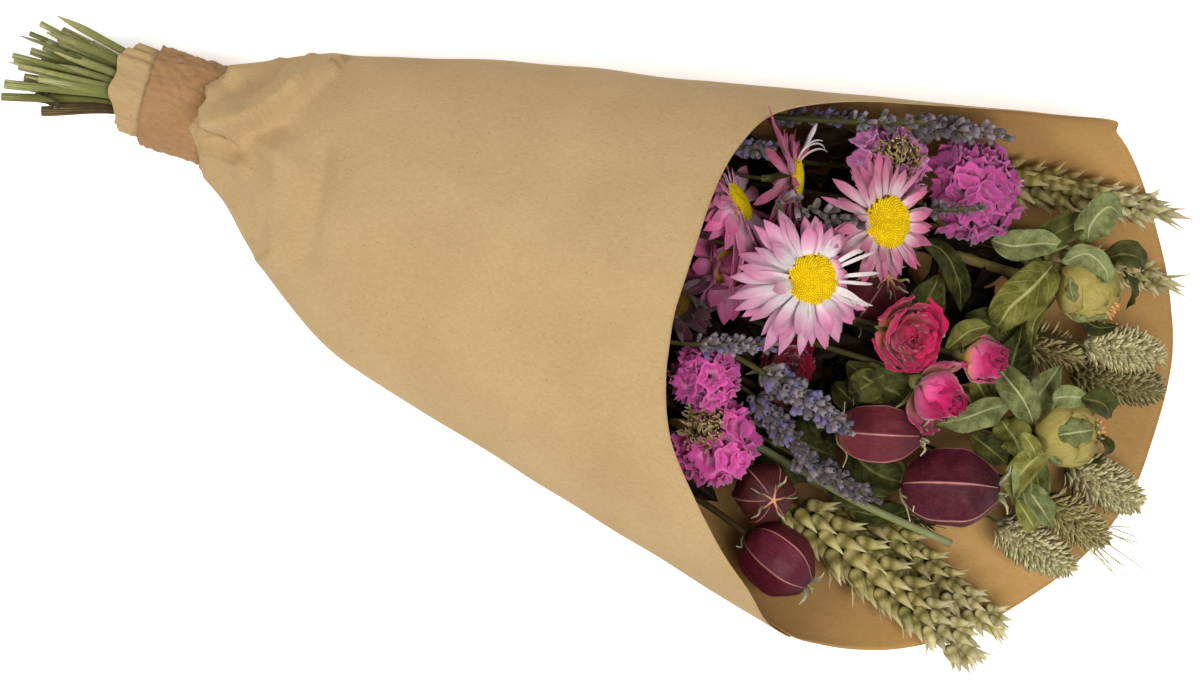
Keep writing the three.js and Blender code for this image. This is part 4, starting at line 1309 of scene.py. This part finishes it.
def wheat(name, seed, spikelets, roll, tip_awns=3):
    """Plump florets lean out at both sides of the axis, whose rows are turned round it by roll."""
    head = stem(name, [-40])
    draws = random.Random(seed)
    grains, husks = blank(), blank()
    add(husks, rod([axis(z) for z in (-46, -10, 31)], lambda share: mix(1.5, 0.8, share), sides=6))
    places = ([], [], [])
    kernel = blank()
    lay = place_of(kernel)
    bmesh.ops.create_uvsphere(kernel, u_segments=8, v_segments=6, radius=1)
    for vert in kernel.verts:
        vert[lay] = (vert.co.z * 0.5 + 0.5, math.atan2(vert.co.y, vert.co.x) / math.pi, 0)
        vert.co = Vector((vert.co.x * 2.2, vert.co.y * 2.2, vert.co.z * 2.5))
    for i in range(spikelets):
        share = i / (spikelets - 1)
        side = 1 if i % 2 else -1
        grow = mix(0.84, 1.1, math.sin(math.pi * min(1, share * 1.05 + 0.14)))
        ripe = share > 0.72
        z = mix(-46, 29, share)
        place = Matrix.Rotation(roll, 4, "Z") @ Matrix.Translation((side * 0.4, 0, z))
        place = place @ Matrix.Rotation(side * 0.28, 4, "Y") @ Matrix.Rotation(draws.gauss(0, 0.06), 4, "X")
        for out, way, splayed in SPIKELET:
            out = Vector((out[0] * side, out[1], out[2])) * grow
            way = Vector((way[0] * side, way[1], way[2])) + astray(draws, 0.05)
            size = grow * draws.uniform(0.92, 1.08)
            where = place if splayed else Matrix.Rotation(roll, 4, "Z") @ Matrix.Translation((0, 0, z))
            way = where.to_3x3() @ way
            places[ripe].append((aim(where @ out, way, draws.uniform(0, 6), size), draws.uniform(-1, 1)))
            bulge = out * 1.2 + axis(2.2 * size)
            places[2].append((aim(where @ bulge, way, 0, size * 0.94), draws.uniform(-1, 1)))
        for fan in (-1, 1):
            at = Vector((side * 4.4, fan * 2.6, 0.4)) * grow
            way = Vector((side * 0.3, fan * 0.16, 1)) + astray(draws, 0.06)
            glume = blade(10.8 * grow, GLUME, 0.1, cup=-0.5, fold=-0.2, shade=draws.uniform(-1, 1), rows=6)
            add(husks, glume, place @ lay_out(at, way, Vector((side, fan * 0.7, 0.1))), finish=int(ripe))
    for i in range(4):
        turn = roll + math.pi / 2 * i
        at = level(turn) * (1.5 if i % 2 else 2.2)
        way = Vector((at.x * 0.06, at.y * 0.06, 1))
        at += axis(28 + 1.2 * (i % 2))
        places[1].append((aim(at, way, turn, 0.86), draws.uniform(-1, 1)))
    for i in range(TIP_AWNS):
        out = leaning(i * GOLDEN_ANGLE, 0.28 * math.sqrt(i / TIP_AWNS))
        long = draws.uniform(8, 10) + tip_awns * draws.random()
        glume = blade(long, GLUME, 0.1, cup=-0.5, shade=draws.uniform(-1, 1), rows=6)
        place = lay_out(Vector((out.x * 6, out.y * 6, 31)), out, (out.x, out.y, 0.01))
        add(husks, glume, place, finish=1)
    floret = turned(FLORET, 8, 0.06, 4)
    scatter(grains, floret.copy(), places[0])
    scatter(grains, floret, places[1], 1)
    scatter(grains, kernel, places[2], 2)
    seeds = [green_wheat, gold_wheat, kernel_finish]
    own(finished(name + "_kernels", grains, *seeds, place=head), "wheat_ear", name)
    own(finished(name + "_husks", husks, *seeds[:2], place=head, thickness=0.14), "wheat_ear", name)


wheat("wheat_long", 61, 15, 1.4)
wheat("wheat_short", 62, 14, 1.35)
wheat("wheat_upper", 63, 18, 1, 10)
wheat("wheat_far", 64, 17, 1.4, 12)

# The canary grass: dense oval heads of folded pointed scales that overlap like roof tiles, each
# with a green keel and whitish edges. One has fine bristles.
SCALE = ((0, 0.6), (0.3, 1.2), (0.6, 1.1), (0.85, 0.45), (1, 0.05))


def scale_finish(name, keel, blade_tone, margin):
    """Across is 0 on the keel and 1 at the margins of each scale."""
    made, tree, shader = new_finish(name, roughness=0.75, specular=0.2)
    along, across, shade = parts_of_place(tree)
    cloud = cloudy(tree, 900, 3)
    spread = calc("ADD", calc("ABSOLUTE", across), calc("MULTIPLY_ADD", cloud, 0.3, -0.15))
    tone = ramp(spread, (0, blade_tone), (0.2, keel), (0.42, blade_tone), (0.8, margin))
    light = calc("MULTIPLY_ADD", shade, 0.2, calc("MULTIPLY_ADD", along, 0.5, 0.62))
    light = calc("MULTIPLY_ADD", cloud, 0.3, light)
    tone = node(tree, "HueSaturation", Color=tone, Value=light)
    cover(shader, tone, cloud, strength=0.3, depth=0.0004)
    return made


pale_scale = scale_finish("pale_scales", (118, 112, 66), (168, 157, 110), (206, 196, 152))
green_scale = scale_finish("green_scales", (78, 70, 30), (122, 112, 68), (164, 152, 108))
brown_scale = scale_finish("brown_scales", (88, 78, 38), (140, 126, 76), (186, 170, 118))


def canary(name, finish, seed, start, end, wide, count=380, long=4.4, lean=0.45, bristles=0):
    """Start and end are the heights of the oval head's ends, and long is the length of a scale."""
    head = stem(name, [-12, 2, 12])
    draws = random.Random(seed)
    made = blank()
    scale = blade(long, SCALE, 0.25, rows=3, cup=-0.3, fold=-0.5, columns=2)

    def radius_at(share):
        return 5.9 * wide * math.sin(math.pi * mix(0.1, 0.985, share)) ** 0.5

    def core_radius(share):
        return radius_at(share) * math.sqrt(min(1, 0.01 + 5 * share, 5.01 - 5 * share))

    places = []
    for i in range(count):
        share = (i + 0.5) / count
        turn = i * GOLDEN_ANGLE + draws.gauss(0, 0.1)
        out = level(turn)
        tilt = mix(lean + 0.3, 0.12, share**1.5) + draws.gauss(0, 0.16)
        way = out * math.sin(tilt) + axis(math.cos(tilt)) + astray(draws, 0.1)
        at = out * radius_at(share) + axis(mix(start, end, share) + draws.gauss(0, 0.4))
        places.append((lay_out(at, way, out, draws.uniform(0.8, 1.2)), draws.uniform(-1, 1)))
    scatter(made, scale, places)
    core = [axis(mix(start - 1, end + 1, k / 4)) for k in range(5)]
    add(made, rod(core, core_radius, sides=12, rings=20, shade=-0.9))
    for i in range(bristles):
        turn, z = draws.uniform(0, math.tau), draws.uniform(-10, 13)
        out = level(turn)
        tip = out * draws.uniform(7, 12) + axis(z + draws.uniform(14, 22))
        points = [out * 4 + axis(z), out * 6 + axis(z + 8), tip]
        add(made, rod(points, lambda share: mix(0.22, 0.09, share), sides=4, rings=6, shade=0.9))
    own(finished(name + "_scales", made, finish, place=head, thickness=0.1), "canary_grass", name)


canary("canary_pale", pale_scale, 71, -13, 12, 0.92)
canary("canary_green", green_scale, 72, -17, 13, 1.1)
canary("canary_brown", brown_scale, 73, -12, 10, 0.9, 170, 8, 0.6)
canary("canary_low", pale_scale, 74, -14, 14, 1.15)
canary("canary_inner", green_scale, 75, -14, 13, 1, 260)
canary("canary_edge", pale_scale, 76, -15, 14, 1.1)
canary("canary_bristly", brown_scale, 77, -14, 13, 0.95, 300, 5, 0.45, 22)

# The safflower buds: globes of close pale yellow bracts with green leafy patches and a small orange
# flower tip, with dark leafy bracts that curl round them.
SHELL = ((0, 2.6), (0.25, 5), (0.5, 5.8), (0.75, 4.2), (0.92, 1.6), (1, 0.15))
GLOBE_RADIUS = 10.4
BRACT_LIFT = 0.3
BRACTS_IN_ROW = 5
# Each row of bracts: the angles down from the tip where it starts and ends, and how wide it is.
BRACT_ROWS = ((2.4, 0.05, 2.3), (2.8, 0.45, 2.3), (3, 1.1, 2.2))
TIP_FLORET = ((0, 0.6), (0.6, 0.45), (1, 0.08))
TIP_FLORETS = 16


def patch(around, along_way, long, wide, shade, radius):
    """A crinkled leafy patch that lies on the globe round a direction, in millimetres."""
    around = Vector(around).normalized()
    ahead = Vector(along_way)
    ahead = (ahead - around * around.dot(ahead)).normalized()

    def point_at(across, share):
        along = 2 * share - 1
        ragged = 1 + 0.22 * math.sin(along * 9 + across * 3 + shade)
        half = wide / 2 * max(0, 1 - abs(along) ** 2.2) ** 0.75 * ragged
        at = around * radius + ahead * along * long / 2 + around.cross(ahead) * across * half
        return at.normalized() * (radius + 0.25 + noise.noise(at / 2.2) * 0.63)

    return woven(10, 14, shade, point_at)


def shell(turn, start, end, width, shade, radius):
    """A pointed bract that hugs the globe, from one angle down from the tip to another."""

    def point_at(across, along):
        down = mix(start, end, along)
        half = read_rows(SHELL, along) / 5.8 * width / 2
        swing = turn + across * half / max(0.35, math.sin(max(0.2, down)))
        out = radius + BRACT_LIFT * along + 0.25 * math.cos(across * 9) * along
        out -= 0.5 * across * across * BRACT_LIFT
        return level(swing) * math.sin(down) * out + axis(math.cos(down) * out * 1.04)

    return woven(8, 12, shade, point_at)


globe_finish = plant_finish(
    "yellow_bract", ((0, (130, 122, 52)), (0.5, (162, 150, 76)), (0.85, (178, 160, 90)), (1, (154, 130, 68))),
    streaks=7, depth=0.14, bump=0.6, roughness=0.66,
)
floret_finish = plant_finish(
    "orange_floret", ((0, (206, 182, 110)), (0.5, (224, 172, 108)), (1, (222, 144, 88))), streaks=4, depth=0.2
)


def leaf_finish(name, dark, light, vein):
    """Across is 0 on the midrib, and along runs from the root to the tip."""
    made, tree, shader = new_finish(name, roughness=0.72, specular=0.12)
    along, across, shade = parts_of_place(tree)
    cloud, grain = cloudy(tree, 170, 5, 0.65), cloudy(tree, 1500, 3)
    tone = ramp(calc("MULTIPLY_ADD", shade, 0.1, cloud), (0.32, dark), (0.68, light))
    tone = node(tree, "HueSaturation", Color=tone, Value=calc("MULTIPLY_ADD", grain, 0.5, 0.78))
    middle = calc("ABSOLUTE", across)
    run = calc("SUBTRACT", calc("MULTIPLY", along, 8), calc("MULTIPLY", middle, 1.7))
    side = calc("FRACT", calc("MULTIPLY_ADD", cloud, 0.35, run))
    side = calc("ABSOLUTE", calc("SUBTRACT", side, 0.5))
    veins = calc("MULTIPLY", calc("LESS_THAN", side, 0.035), 0.35)
    midrib = calc("MULTIPLY", calc("LESS_THAN", middle, 0.07), 0.85)
    tone = laid_over(calc("MAXIMUM", veins, midrib), tone, vein)
    height = calc("MULTIPLY_ADD", grain, 0.2, calc("SUBTRACT", cloud, calc("MULTIPLY", veins, 0.5)))
    cover(shader, tone, height, strength=0.5, depth=0.0009)
    return made


sage_leaf = leaf_finish("sage_leaf", (86, 90, 44), (142, 150, 96), (178, 182, 132))
olive_leaf = leaf_finish("olive_leaf", (90, 88, 32), (144, 142, 72), (184, 182, 116))
# The dark leaf tone is partly the darker dried leaves' own and partly painted shade: it matches foliage that
# lies in shadow deep in the bouquet.
dark_leaf_and_shade = leaf_finish("dark_leaf_and_shade", (36, 38, 12), (80, 82, 38), (112, 114, 62))


def safflower(name, seed, way, patches):
    """Each patch: the direction it lies in and the way it runs from the globe's middle, length and width."""
    head = stem(name, [-11], way)
    draws = random.Random(seed)
    globe = blank()
    for row, (start, end, wide) in enumerate(BRACT_ROWS):
        for i in range(BRACTS_IN_ROW):
            turn = math.tau * (i + 0.5 * (row % 2)) / BRACTS_IN_ROW + draws.uniform(-0.15, 0.15)
            bract = shell(turn, start, end, wide, draws.uniform(-0.6, 0.6), GLOBE_RADIUS + 0.3 * row)
            add(globe, bract)
    inner = blank()
    lay = place_of(inner)
    bmesh.ops.create_uvsphere(inner, u_segments=24, v_segments=16, radius=10)
    for vert in inner.verts:
        vert[lay] = (0.3, vert.co.x / 10, 0)
    add(globe, inner)
    for i in range(TIP_FLORETS):
        out = leaning(i * GOLDEN_ANGLE, 0.3 * math.sqrt(i / TIP_FLORETS))
        floret = blade(draws.uniform(1.5, 3.2), TIP_FLORET, shade=draws.uniform(-1, 1), rows=5)
        add(globe, floret, lay_out(out * GLOBE_RADIUS, out, (1, 0, 0.1)), finish=2)
    bmesh.ops.transform(globe, matrix=head, verts=globe.verts[:])
    unturned = Matrix.Translation(head.translation) @ Matrix.Scale(head.to_scale().x, 4)
    for around, along_way, long, wide in patches:
        leafy = patch(around, along_way, long, wide, draws.uniform(-1, 1), GLOBE_RADIUS + 1)
        add(globe, leafy, unturned, finish=1)
    piece = finished(name + "_bracts", globe, globe_finish, sage_leaf, floret_finish, thickness=0.2)
    own(piece, "safflower_bud", name)


safflower("safflower_upper", 81, (0.86, -0.36, 0.4), (
    ((-6.3, -2.1, 9.3), (0.55, -0.87, 0), 9, 4.6), ((2.2, 5.9, 9.6), (1, 0.3, 0), 5.4, 5),
    ((6.9, -7.7, 5), (1, 0.17, 0), 12, 4.4), ((-0.3, -10.4, 5), (1, 0.2, 0), 6, 5),
))
safflower("safflower_lower", 82, (0.8, 0.45, 0.35), (
    ((1.5, 1.6, 11.3), (0.9, 0.45, 0), 15, 10), ((9, 5, 5), (0.3, 0.9, 0), 7, 5),
    ((-2, -9, 5), (1, 0, 0), 6, 4),
))

# The leaves: dried and curled, of the safflower and rose stalks. They have a pale midrib, fine side
# veins, a slightly crinkled blade and a drawn-out tip.
LEAF = ((0, 0.12), (0.12, 0.5), (0.3, 0.92), (0.48, 1), (0.68, 0.78), (0.86, 0.32), (0.95, 0.1), (1, 0.02))


def leaf_along(points, half, seed, up=(0, 0, 1), rows=26, columns=10, **shape):
    draws = random.Random(seed)
    outline = widened(LEAF, half)
    line = smooth_line(points, rows)
    settings = {"cup": 0.15, "fold": 0.22, "ruffle": 0.12, "twist": 0, **shape}
    shade, wave = draws.uniform(-1, 1), draws.uniform(0, 6)
    made = ribbon(line, outline, Vector(up), columns=columns, shade=shade, seed=wave, **settings)
    for vert in made.verts:
        crinkle = 0.6 * noise.noise(vert.co * 150 + axis(seed)) + 0.22 * noise.noise(vert.co * 420)
        vert.co.z += half * crinkle
    return made


def leaf(name, finish, seed, wide=1, bend=0, up=(0, 0, 1), line=None, **shape):
    """A leaf along its CAD solid, or along its own line with half its width in millimetres."""
    if line:
        points, half = [NECK + Vector(point) * MM for point in line], wide * MM
    else:
        rings = rings_of(name)
        points = [centre for centre, _ in rings]
        points[-1] = points[-1] + axis(-bend * MM)
        half = max(radius for _, radius in rings) * wide
    made = leaf_along(points, half, seed, up, **shape)
    own(finished(name + "_blade", made, finish, thickness=0.25), "green_leaf", name)


leaf(
    "leaf_upper_broad", olive_leaf, 91, 7.4, fold=0.3,
    line=[(309, 40, 42), (305, 32, 51), (299, 21, 49), (297, 10, 38)],
)
leaf(
    "leaf_upper_folded", sage_leaf, 92, 5.4, ruffle=0.25,
    line=[(286, 41, 45), (293, 41, 50), (303, 45, 52), (312, 47, 49)],
)
leaf(
    "leaf_upper_dark", dark_leaf_and_shade, 93, 5, fold=0.4,
    line=[(300, 44, 45), (306, 50, 51), (312, 56, 50), (316, 60, 47)],
)
leaf(
    "leaf_upper_tip", sage_leaf, 94, 6.2, fold=0.35,
    line=[(317, 50, 49), (316, 57, 55), (319, 63, 55), (326, 62, 49)],
)
leaf("leaf_upper_narrow", olive_leaf, 95, 1.1, 4, fold=0.6, twist=0.8)
leaf("leaf_lower_left", olive_leaf, 96, 1.25, 2, fold=0.4, ruffle=0.3)
leaf("leaf_lower_dark", dark_leaf_and_shade, 97, 0.85, 0, fold=0.5)
leaf("leaf_lower_tall", sage_leaf, 98, 1.15, 1, fold=0.4)
leaf("leaf_lower_pale", sage_leaf, 99, 1.15, 3, fold=0.3, twist=0.6)
leaf("leaf_lower_right", sage_leaf, 100, 1.2, 2, fold=0.45, ruffle=0.35)
leaf("leaf_lower_bent", olive_leaf, 101, 1.2, 2, fold=0.5, twist=0.9, ruffle=0.4)
leaf("leaf_lower_small", olive_leaf, 102, 1.2, 1, fold=0.5, ruffle=0.3)
leaf("leaf_rose_dark", dark_leaf_and_shade, 103, 1.3, 2, fold=0.3)
leaf("leaf_rose_upper", dark_leaf_and_shade, 104, 1.3, 2, fold=0.4)

# The withered leaves and petals deep among the stems, which fill the bouquet under its blooms.
# They are dark brown and curled, and stay inside the roll of the paper. They are painted shade as
# much as leaves: their near-black tone darkens the spaces under the blooms, where the paper lies in
# shadow.
draws = random.Random(140)
withered_and_shade_finish = leaf_finish("withered_leaf_and_painted_shade", (16, 10, 6), (36, 24, 12), (50, 36, 20))
WITHERED_AND_SHADE_COUNT = 360
# Where they lie in millimetres from the neck: along the bouquet, and from one side to the other.
FILLED_ALONG, FILLED_ACROSS = (176, 292), (-76, 52)
ROLL_SIDEWAYS = -13


def inside_roll(point):
    """If a point lies well inside the paper's roll, whose section is about an ellipse."""
    middle = read_rows(SECTIONS, point.x, 3) / 2
    off = (point.y - ROLL_SIDEWAYS) / read_rows(SECTIONS, point.x)
    return math.hypot(off, (point.z - middle) / middle) < 0.84


filling = blank()
for i in range(WITHERED_AND_SHADE_COUNT):
    x = draws.uniform(*FILLED_ALONG)
    y = draws.uniform(*FILLED_ACROSS)
    low = x > 214 and y < -34
    high = mix(54, 30, (x - FILLED_ALONG[0]) / 110)
    at = Vector((x, y, draws.uniform(7, 20) if low else draws.uniform(14, high)))
    way = level(draws.gauss(0, 0.9)) + axis(draws.uniform(-0.3, 0.3))
    points = [at + way * step + axis(3 * math.sin(step / 6)) for step in (0, 7, 14, 21)]
    face = (draws.gauss(0, 0.5), draws.gauss(0, 0.5), 1)
    half, twist = draws.uniform(3, 6), draws.gauss(0, 0.8)
    if all(inside_roll(point) for point in points) and x < (244 if low else 283 + y * 0.3):
        line = [NECK + point * MM for point in points]
        add(filling, leaf_along(line, half * MM, 200 + i, face, 10, 4, fold=0.5, ruffle=0.4, twist=twist))
own(finished("withered_leaves_and_painted_shade", filling, withered_and_shade_finish, thickness=0.2), "green_leaf")

# The loose leaves of the safflower and rose stalks, which lie among the blooms, and, last, dark
# leaves low on the lower side that are painted shade as much as foliage. Each has the points of its
# line in millimetres from the neck, half its width, its tone and the way its upper side faces.
LOOSE_LEAVES = [
    ([(311, 41, 50), (318, 46, 56), (325, 43, 55), (328, 38, 50)], 4.2, "sage", (0.1, 0, 1)),
    ([(324, 46, 48), (330, 50, 53), (336, 50, 50), (338, 46, 45)], 4.4, "dark", (0, 0.3, 1)),
    ([(332, 45, 44), (336, 41, 46), (338, 33, 38)], 3.6, "dark", (1, 0, 0.6)),
    ([(322, 26, 42), (330, 24, 45), (337, 27, 44)], 2.8, "dark", (0, -0.6, 1)),
    ([(313, 29, 42), (309, 20, 44), (312, 9, 35)], 2.6, "olive", (-0.5, 0, 1)),
    ([(322, -4, 49), (328, -1.5, 54), (334, -0.5, 52)], 4, "sage", (0.1, 0.1, 1)),
    ([(331, -1, 52), (338, -0.5, 54), (343.5, -4, 47)], 4.6, "dark", (0.2, 0.2, 1)),
    ([(338, -10, 44), (345, -14, 45), (342, -22, 38)], 2.8, "dark", (1, 0, 0.6)),
    ([(316, -18, 46), (321, -22, 48), (324, -26, 43)], 2.8, "olive", (0, 0, 1)),
    ([(318, -22, 44), (322, -34, 42), (326, -44, 32)], 3.6, "sage", (-0.3, 0, 1)),
    ([(322, -40, 36), (328, -45, 36), (333, -49, 28)], 3.4, "olive", (0, 0, 1)),
    ([(262, 33, 54), (270, 32, 58), (279, 24, 53), (284, 14, 42)], 4.2, "dark", (0.2, -0.2, 1)),
    ([(252, -14, 50), (262, -18, 55), (272, -19, 52), (279, -24, 44)], 6.5, "dark", (0, 0, 1)),
    ([(266, -6, 52), (276, -10, 55), (287, -8, 50)], 4.5, "dark", (0, 0.2, 1)),
    ([(285, 5, 44), (296, 4, 50), (304, -2, 46)], 5, "sage", (0, 0.2, 1)),
    ([(286, 14, 40), (298, 14, 42), (306, 8, 34)], 5.5, "dark", (0, 0, 1)),
    ([(310, -10, 46), (303, -14, 50), (295, -20, 50), (287, -25, 45)], 5.2, "sage", (0.2, -0.2, 1)),
    ([(319, -14, 44), (313, -8, 50), (306, -3, 50), (298, 3, 44)], 5.6, "sage", (-0.2, 0.2, 1)),
    ([(328, -20, 44), (323, -26, 46), (320, -34, 42), (322, -43, 34)], 5, "olive", (-0.4, 0, 1)),
    ([(322, -34, 39), (330, -40, 39), (338, -46, 32)], 4.6, "sage", (0.1, 0.3, 1)),
    ([(300, -24, 40), (308, -27, 42), (316, -30, 38)], 4.4, "dark", (0, 0, 1)),
    ([(250, -22, 44), (260, -27, 50), (270, -30, 46)], 6, "dark", (0, 0.3, 1)),
    ([(282, 0, 56), (287, 8, 57), (295, 13, 50)], 4, "olive", (-0.3, 0, 1)),
    # From here on: dark leaves low under the blooms, painted shade as much as foliage, over paper that lies
    # in shadow there.
    ([(262, -42, 30), (274, -47, 34), (287, -47, 30)], 6.5, "dark", (0, 0.2, 1)),
    ([(258, -53, 25), (270, -56, 29), (282, -53, 26)], 5.5, "dark", (0.1, -0.2, 1)),
    ([(270, -62, 22), (282, -60, 26), (292, -54, 24)], 4.5, "dark", (0, 0.2, 1)),
    ([(236, -41, 30), (248, -45, 34), (260, -46, 30)], 6.5, "dark", (0, 0.2, 1)),
    ([(230, -51, 25), (243, -54, 29), (256, -56, 25)], 6, "dark", (0.1, -0.2, 1)),
    ([(244, -33, 36), (255, -37, 39), (267, -37, 35)], 5.5, "dark", (0, 0.1, 1)),
    ([(222, -46, 30), (232, -43, 33), (243, -38, 33)], 5.5, "dark", (0.2, 0, 1)),
]
for tone, finish in (("sage", sage_leaf), ("olive", olive_leaf), ("dark", dark_leaf_and_shade)):
    loose = blank()
    for i, (points, half, kind, face) in enumerate(LOOSE_LEAVES):
        if kind == tone:
            line = [NECK + Vector(point) * MM for point in points]
            add(loose, leaf_along(line, half * MM, 110 + i, face, 22, 8, fold=0.35, ruffle=0.2))
    own(finished(tone + "_loose_leaves", loose, finish, thickness=0.22), "green_leaf")

# The green stem that was cut short among the blooms, and beside it a dark feathery seed grass,
# whose fine threads stand out along its tip.
stem("cut_stem", [-20, -8, 0])
feather = stem("seed_grass")
plume = blank()
draws = random.Random(120)
THREAD = ((0, 0.3), (0.4, 0.35), (1, 0.05))
THREAD_COUNT = 120
for i in range(THREAD_COUNT):
    share = i / THREAD_COUNT
    out = leaning(draws.uniform(0, math.tau), draws.uniform(0.4, 0.9))
    long, curl = draws.uniform(7, 13), draws.uniform(-0.5, 0.5)
    thread = blade(long, THREAD, curl, shade=draws.uniform(-1, 1), rows=6, columns=2)
    add(plume, thread, feather @ lay_out(axis(mix(-36, 12, share)), out, (0, 0, 1)))
own(finished("seed_grass_threads", plume, stem_finish["olive"], thickness=0.2), "canary_grass", "seed_grass")

# The camera looks straight down on the bouquet from 1.5 m, turned so that the neck points up left.
# Soft light comes from a wide panel above and a little from the neck's lower side.
CAMERA_AT = Vector((170.3, -34.8, 1500))
CAMERA_TURN = 18
# Half the width that the picture shows at the floor's level, in millimetres.
HALF_VIEW = 211
WORLD_LIGHT = 0.28
camera = bpy.data.objects.new("camera", bpy.data.cameras.new("camera"))
camera.data.sensor_fit = "HORIZONTAL"
camera.data.angle = 2 * math.atan(HALF_VIEW / CAMERA_AT.z)
camera.data.clip_end = 20
turn = Matrix.Rotation(math.radians(CAMERA_TURN), 4, "Z")
camera.matrix_world = Matrix.Translation(NECK + CAMERA_AT * MM) @ turn
bpy.context.scene.collection.objects.link(camera)
bpy.context.scene.camera = camera


# The point that the lamps face, in metres.
LAMPS_AIM = Vector((0.03, 0, 0.03))


def panel(name, at, power, size):
    """A square lamp, with its place and size in metres."""
    lamp = bpy.data.lights.new(name, "AREA")
    lamp.energy = power
    lamp.size = size
    made = bpy.data.objects.new(name, lamp)
    way = LAMPS_AIM - Vector(at)
    made.matrix_world = Matrix.Translation(at) @ way.to_track_quat("-Z", "Y").to_matrix().to_4x4()
    bpy.context.scene.collection.objects.link(made)


panel("soft_panel", (-0.75, -0.3, 1.25), 9.5, 0.45)
panel("side_panel", (0.5, -0.2, 1.35), 11, 0.6)
world = bpy.data.worlds.new("studio")
world.use_nodes = True
backdrop = world.node_tree.nodes["Background"]
backdrop.inputs["Color"].default_value = (1, 1, 1, 1)
backdrop.inputs["Strength"].default_value = WORLD_LIGHT
bpy.context.scene.world = world
bpy.context.scene.view_settings.view_transform = "Standard"

# The floor is a plain pale sheet with a faint grain. A little light of its own keeps it nearly
# white round the bouquet.
plain, tree, shader = new_finish(
    "pale_floor", roughness=0.9, specular=0.1, Emission_Color=(1, 1, 1, 1), Emission_Strength=0.5
)
grain = ramp(cloudy(tree, 300), (0.2, (248, 248, 247)), (0.8, (252, 252, 251)))
tree.links.new(grain, shader.inputs["Base Color"])
ground = bmesh.new()
bmesh.ops.create_grid(ground, x_segments=1, y_segments=1, size=6)
finished("floor", ground, plain)
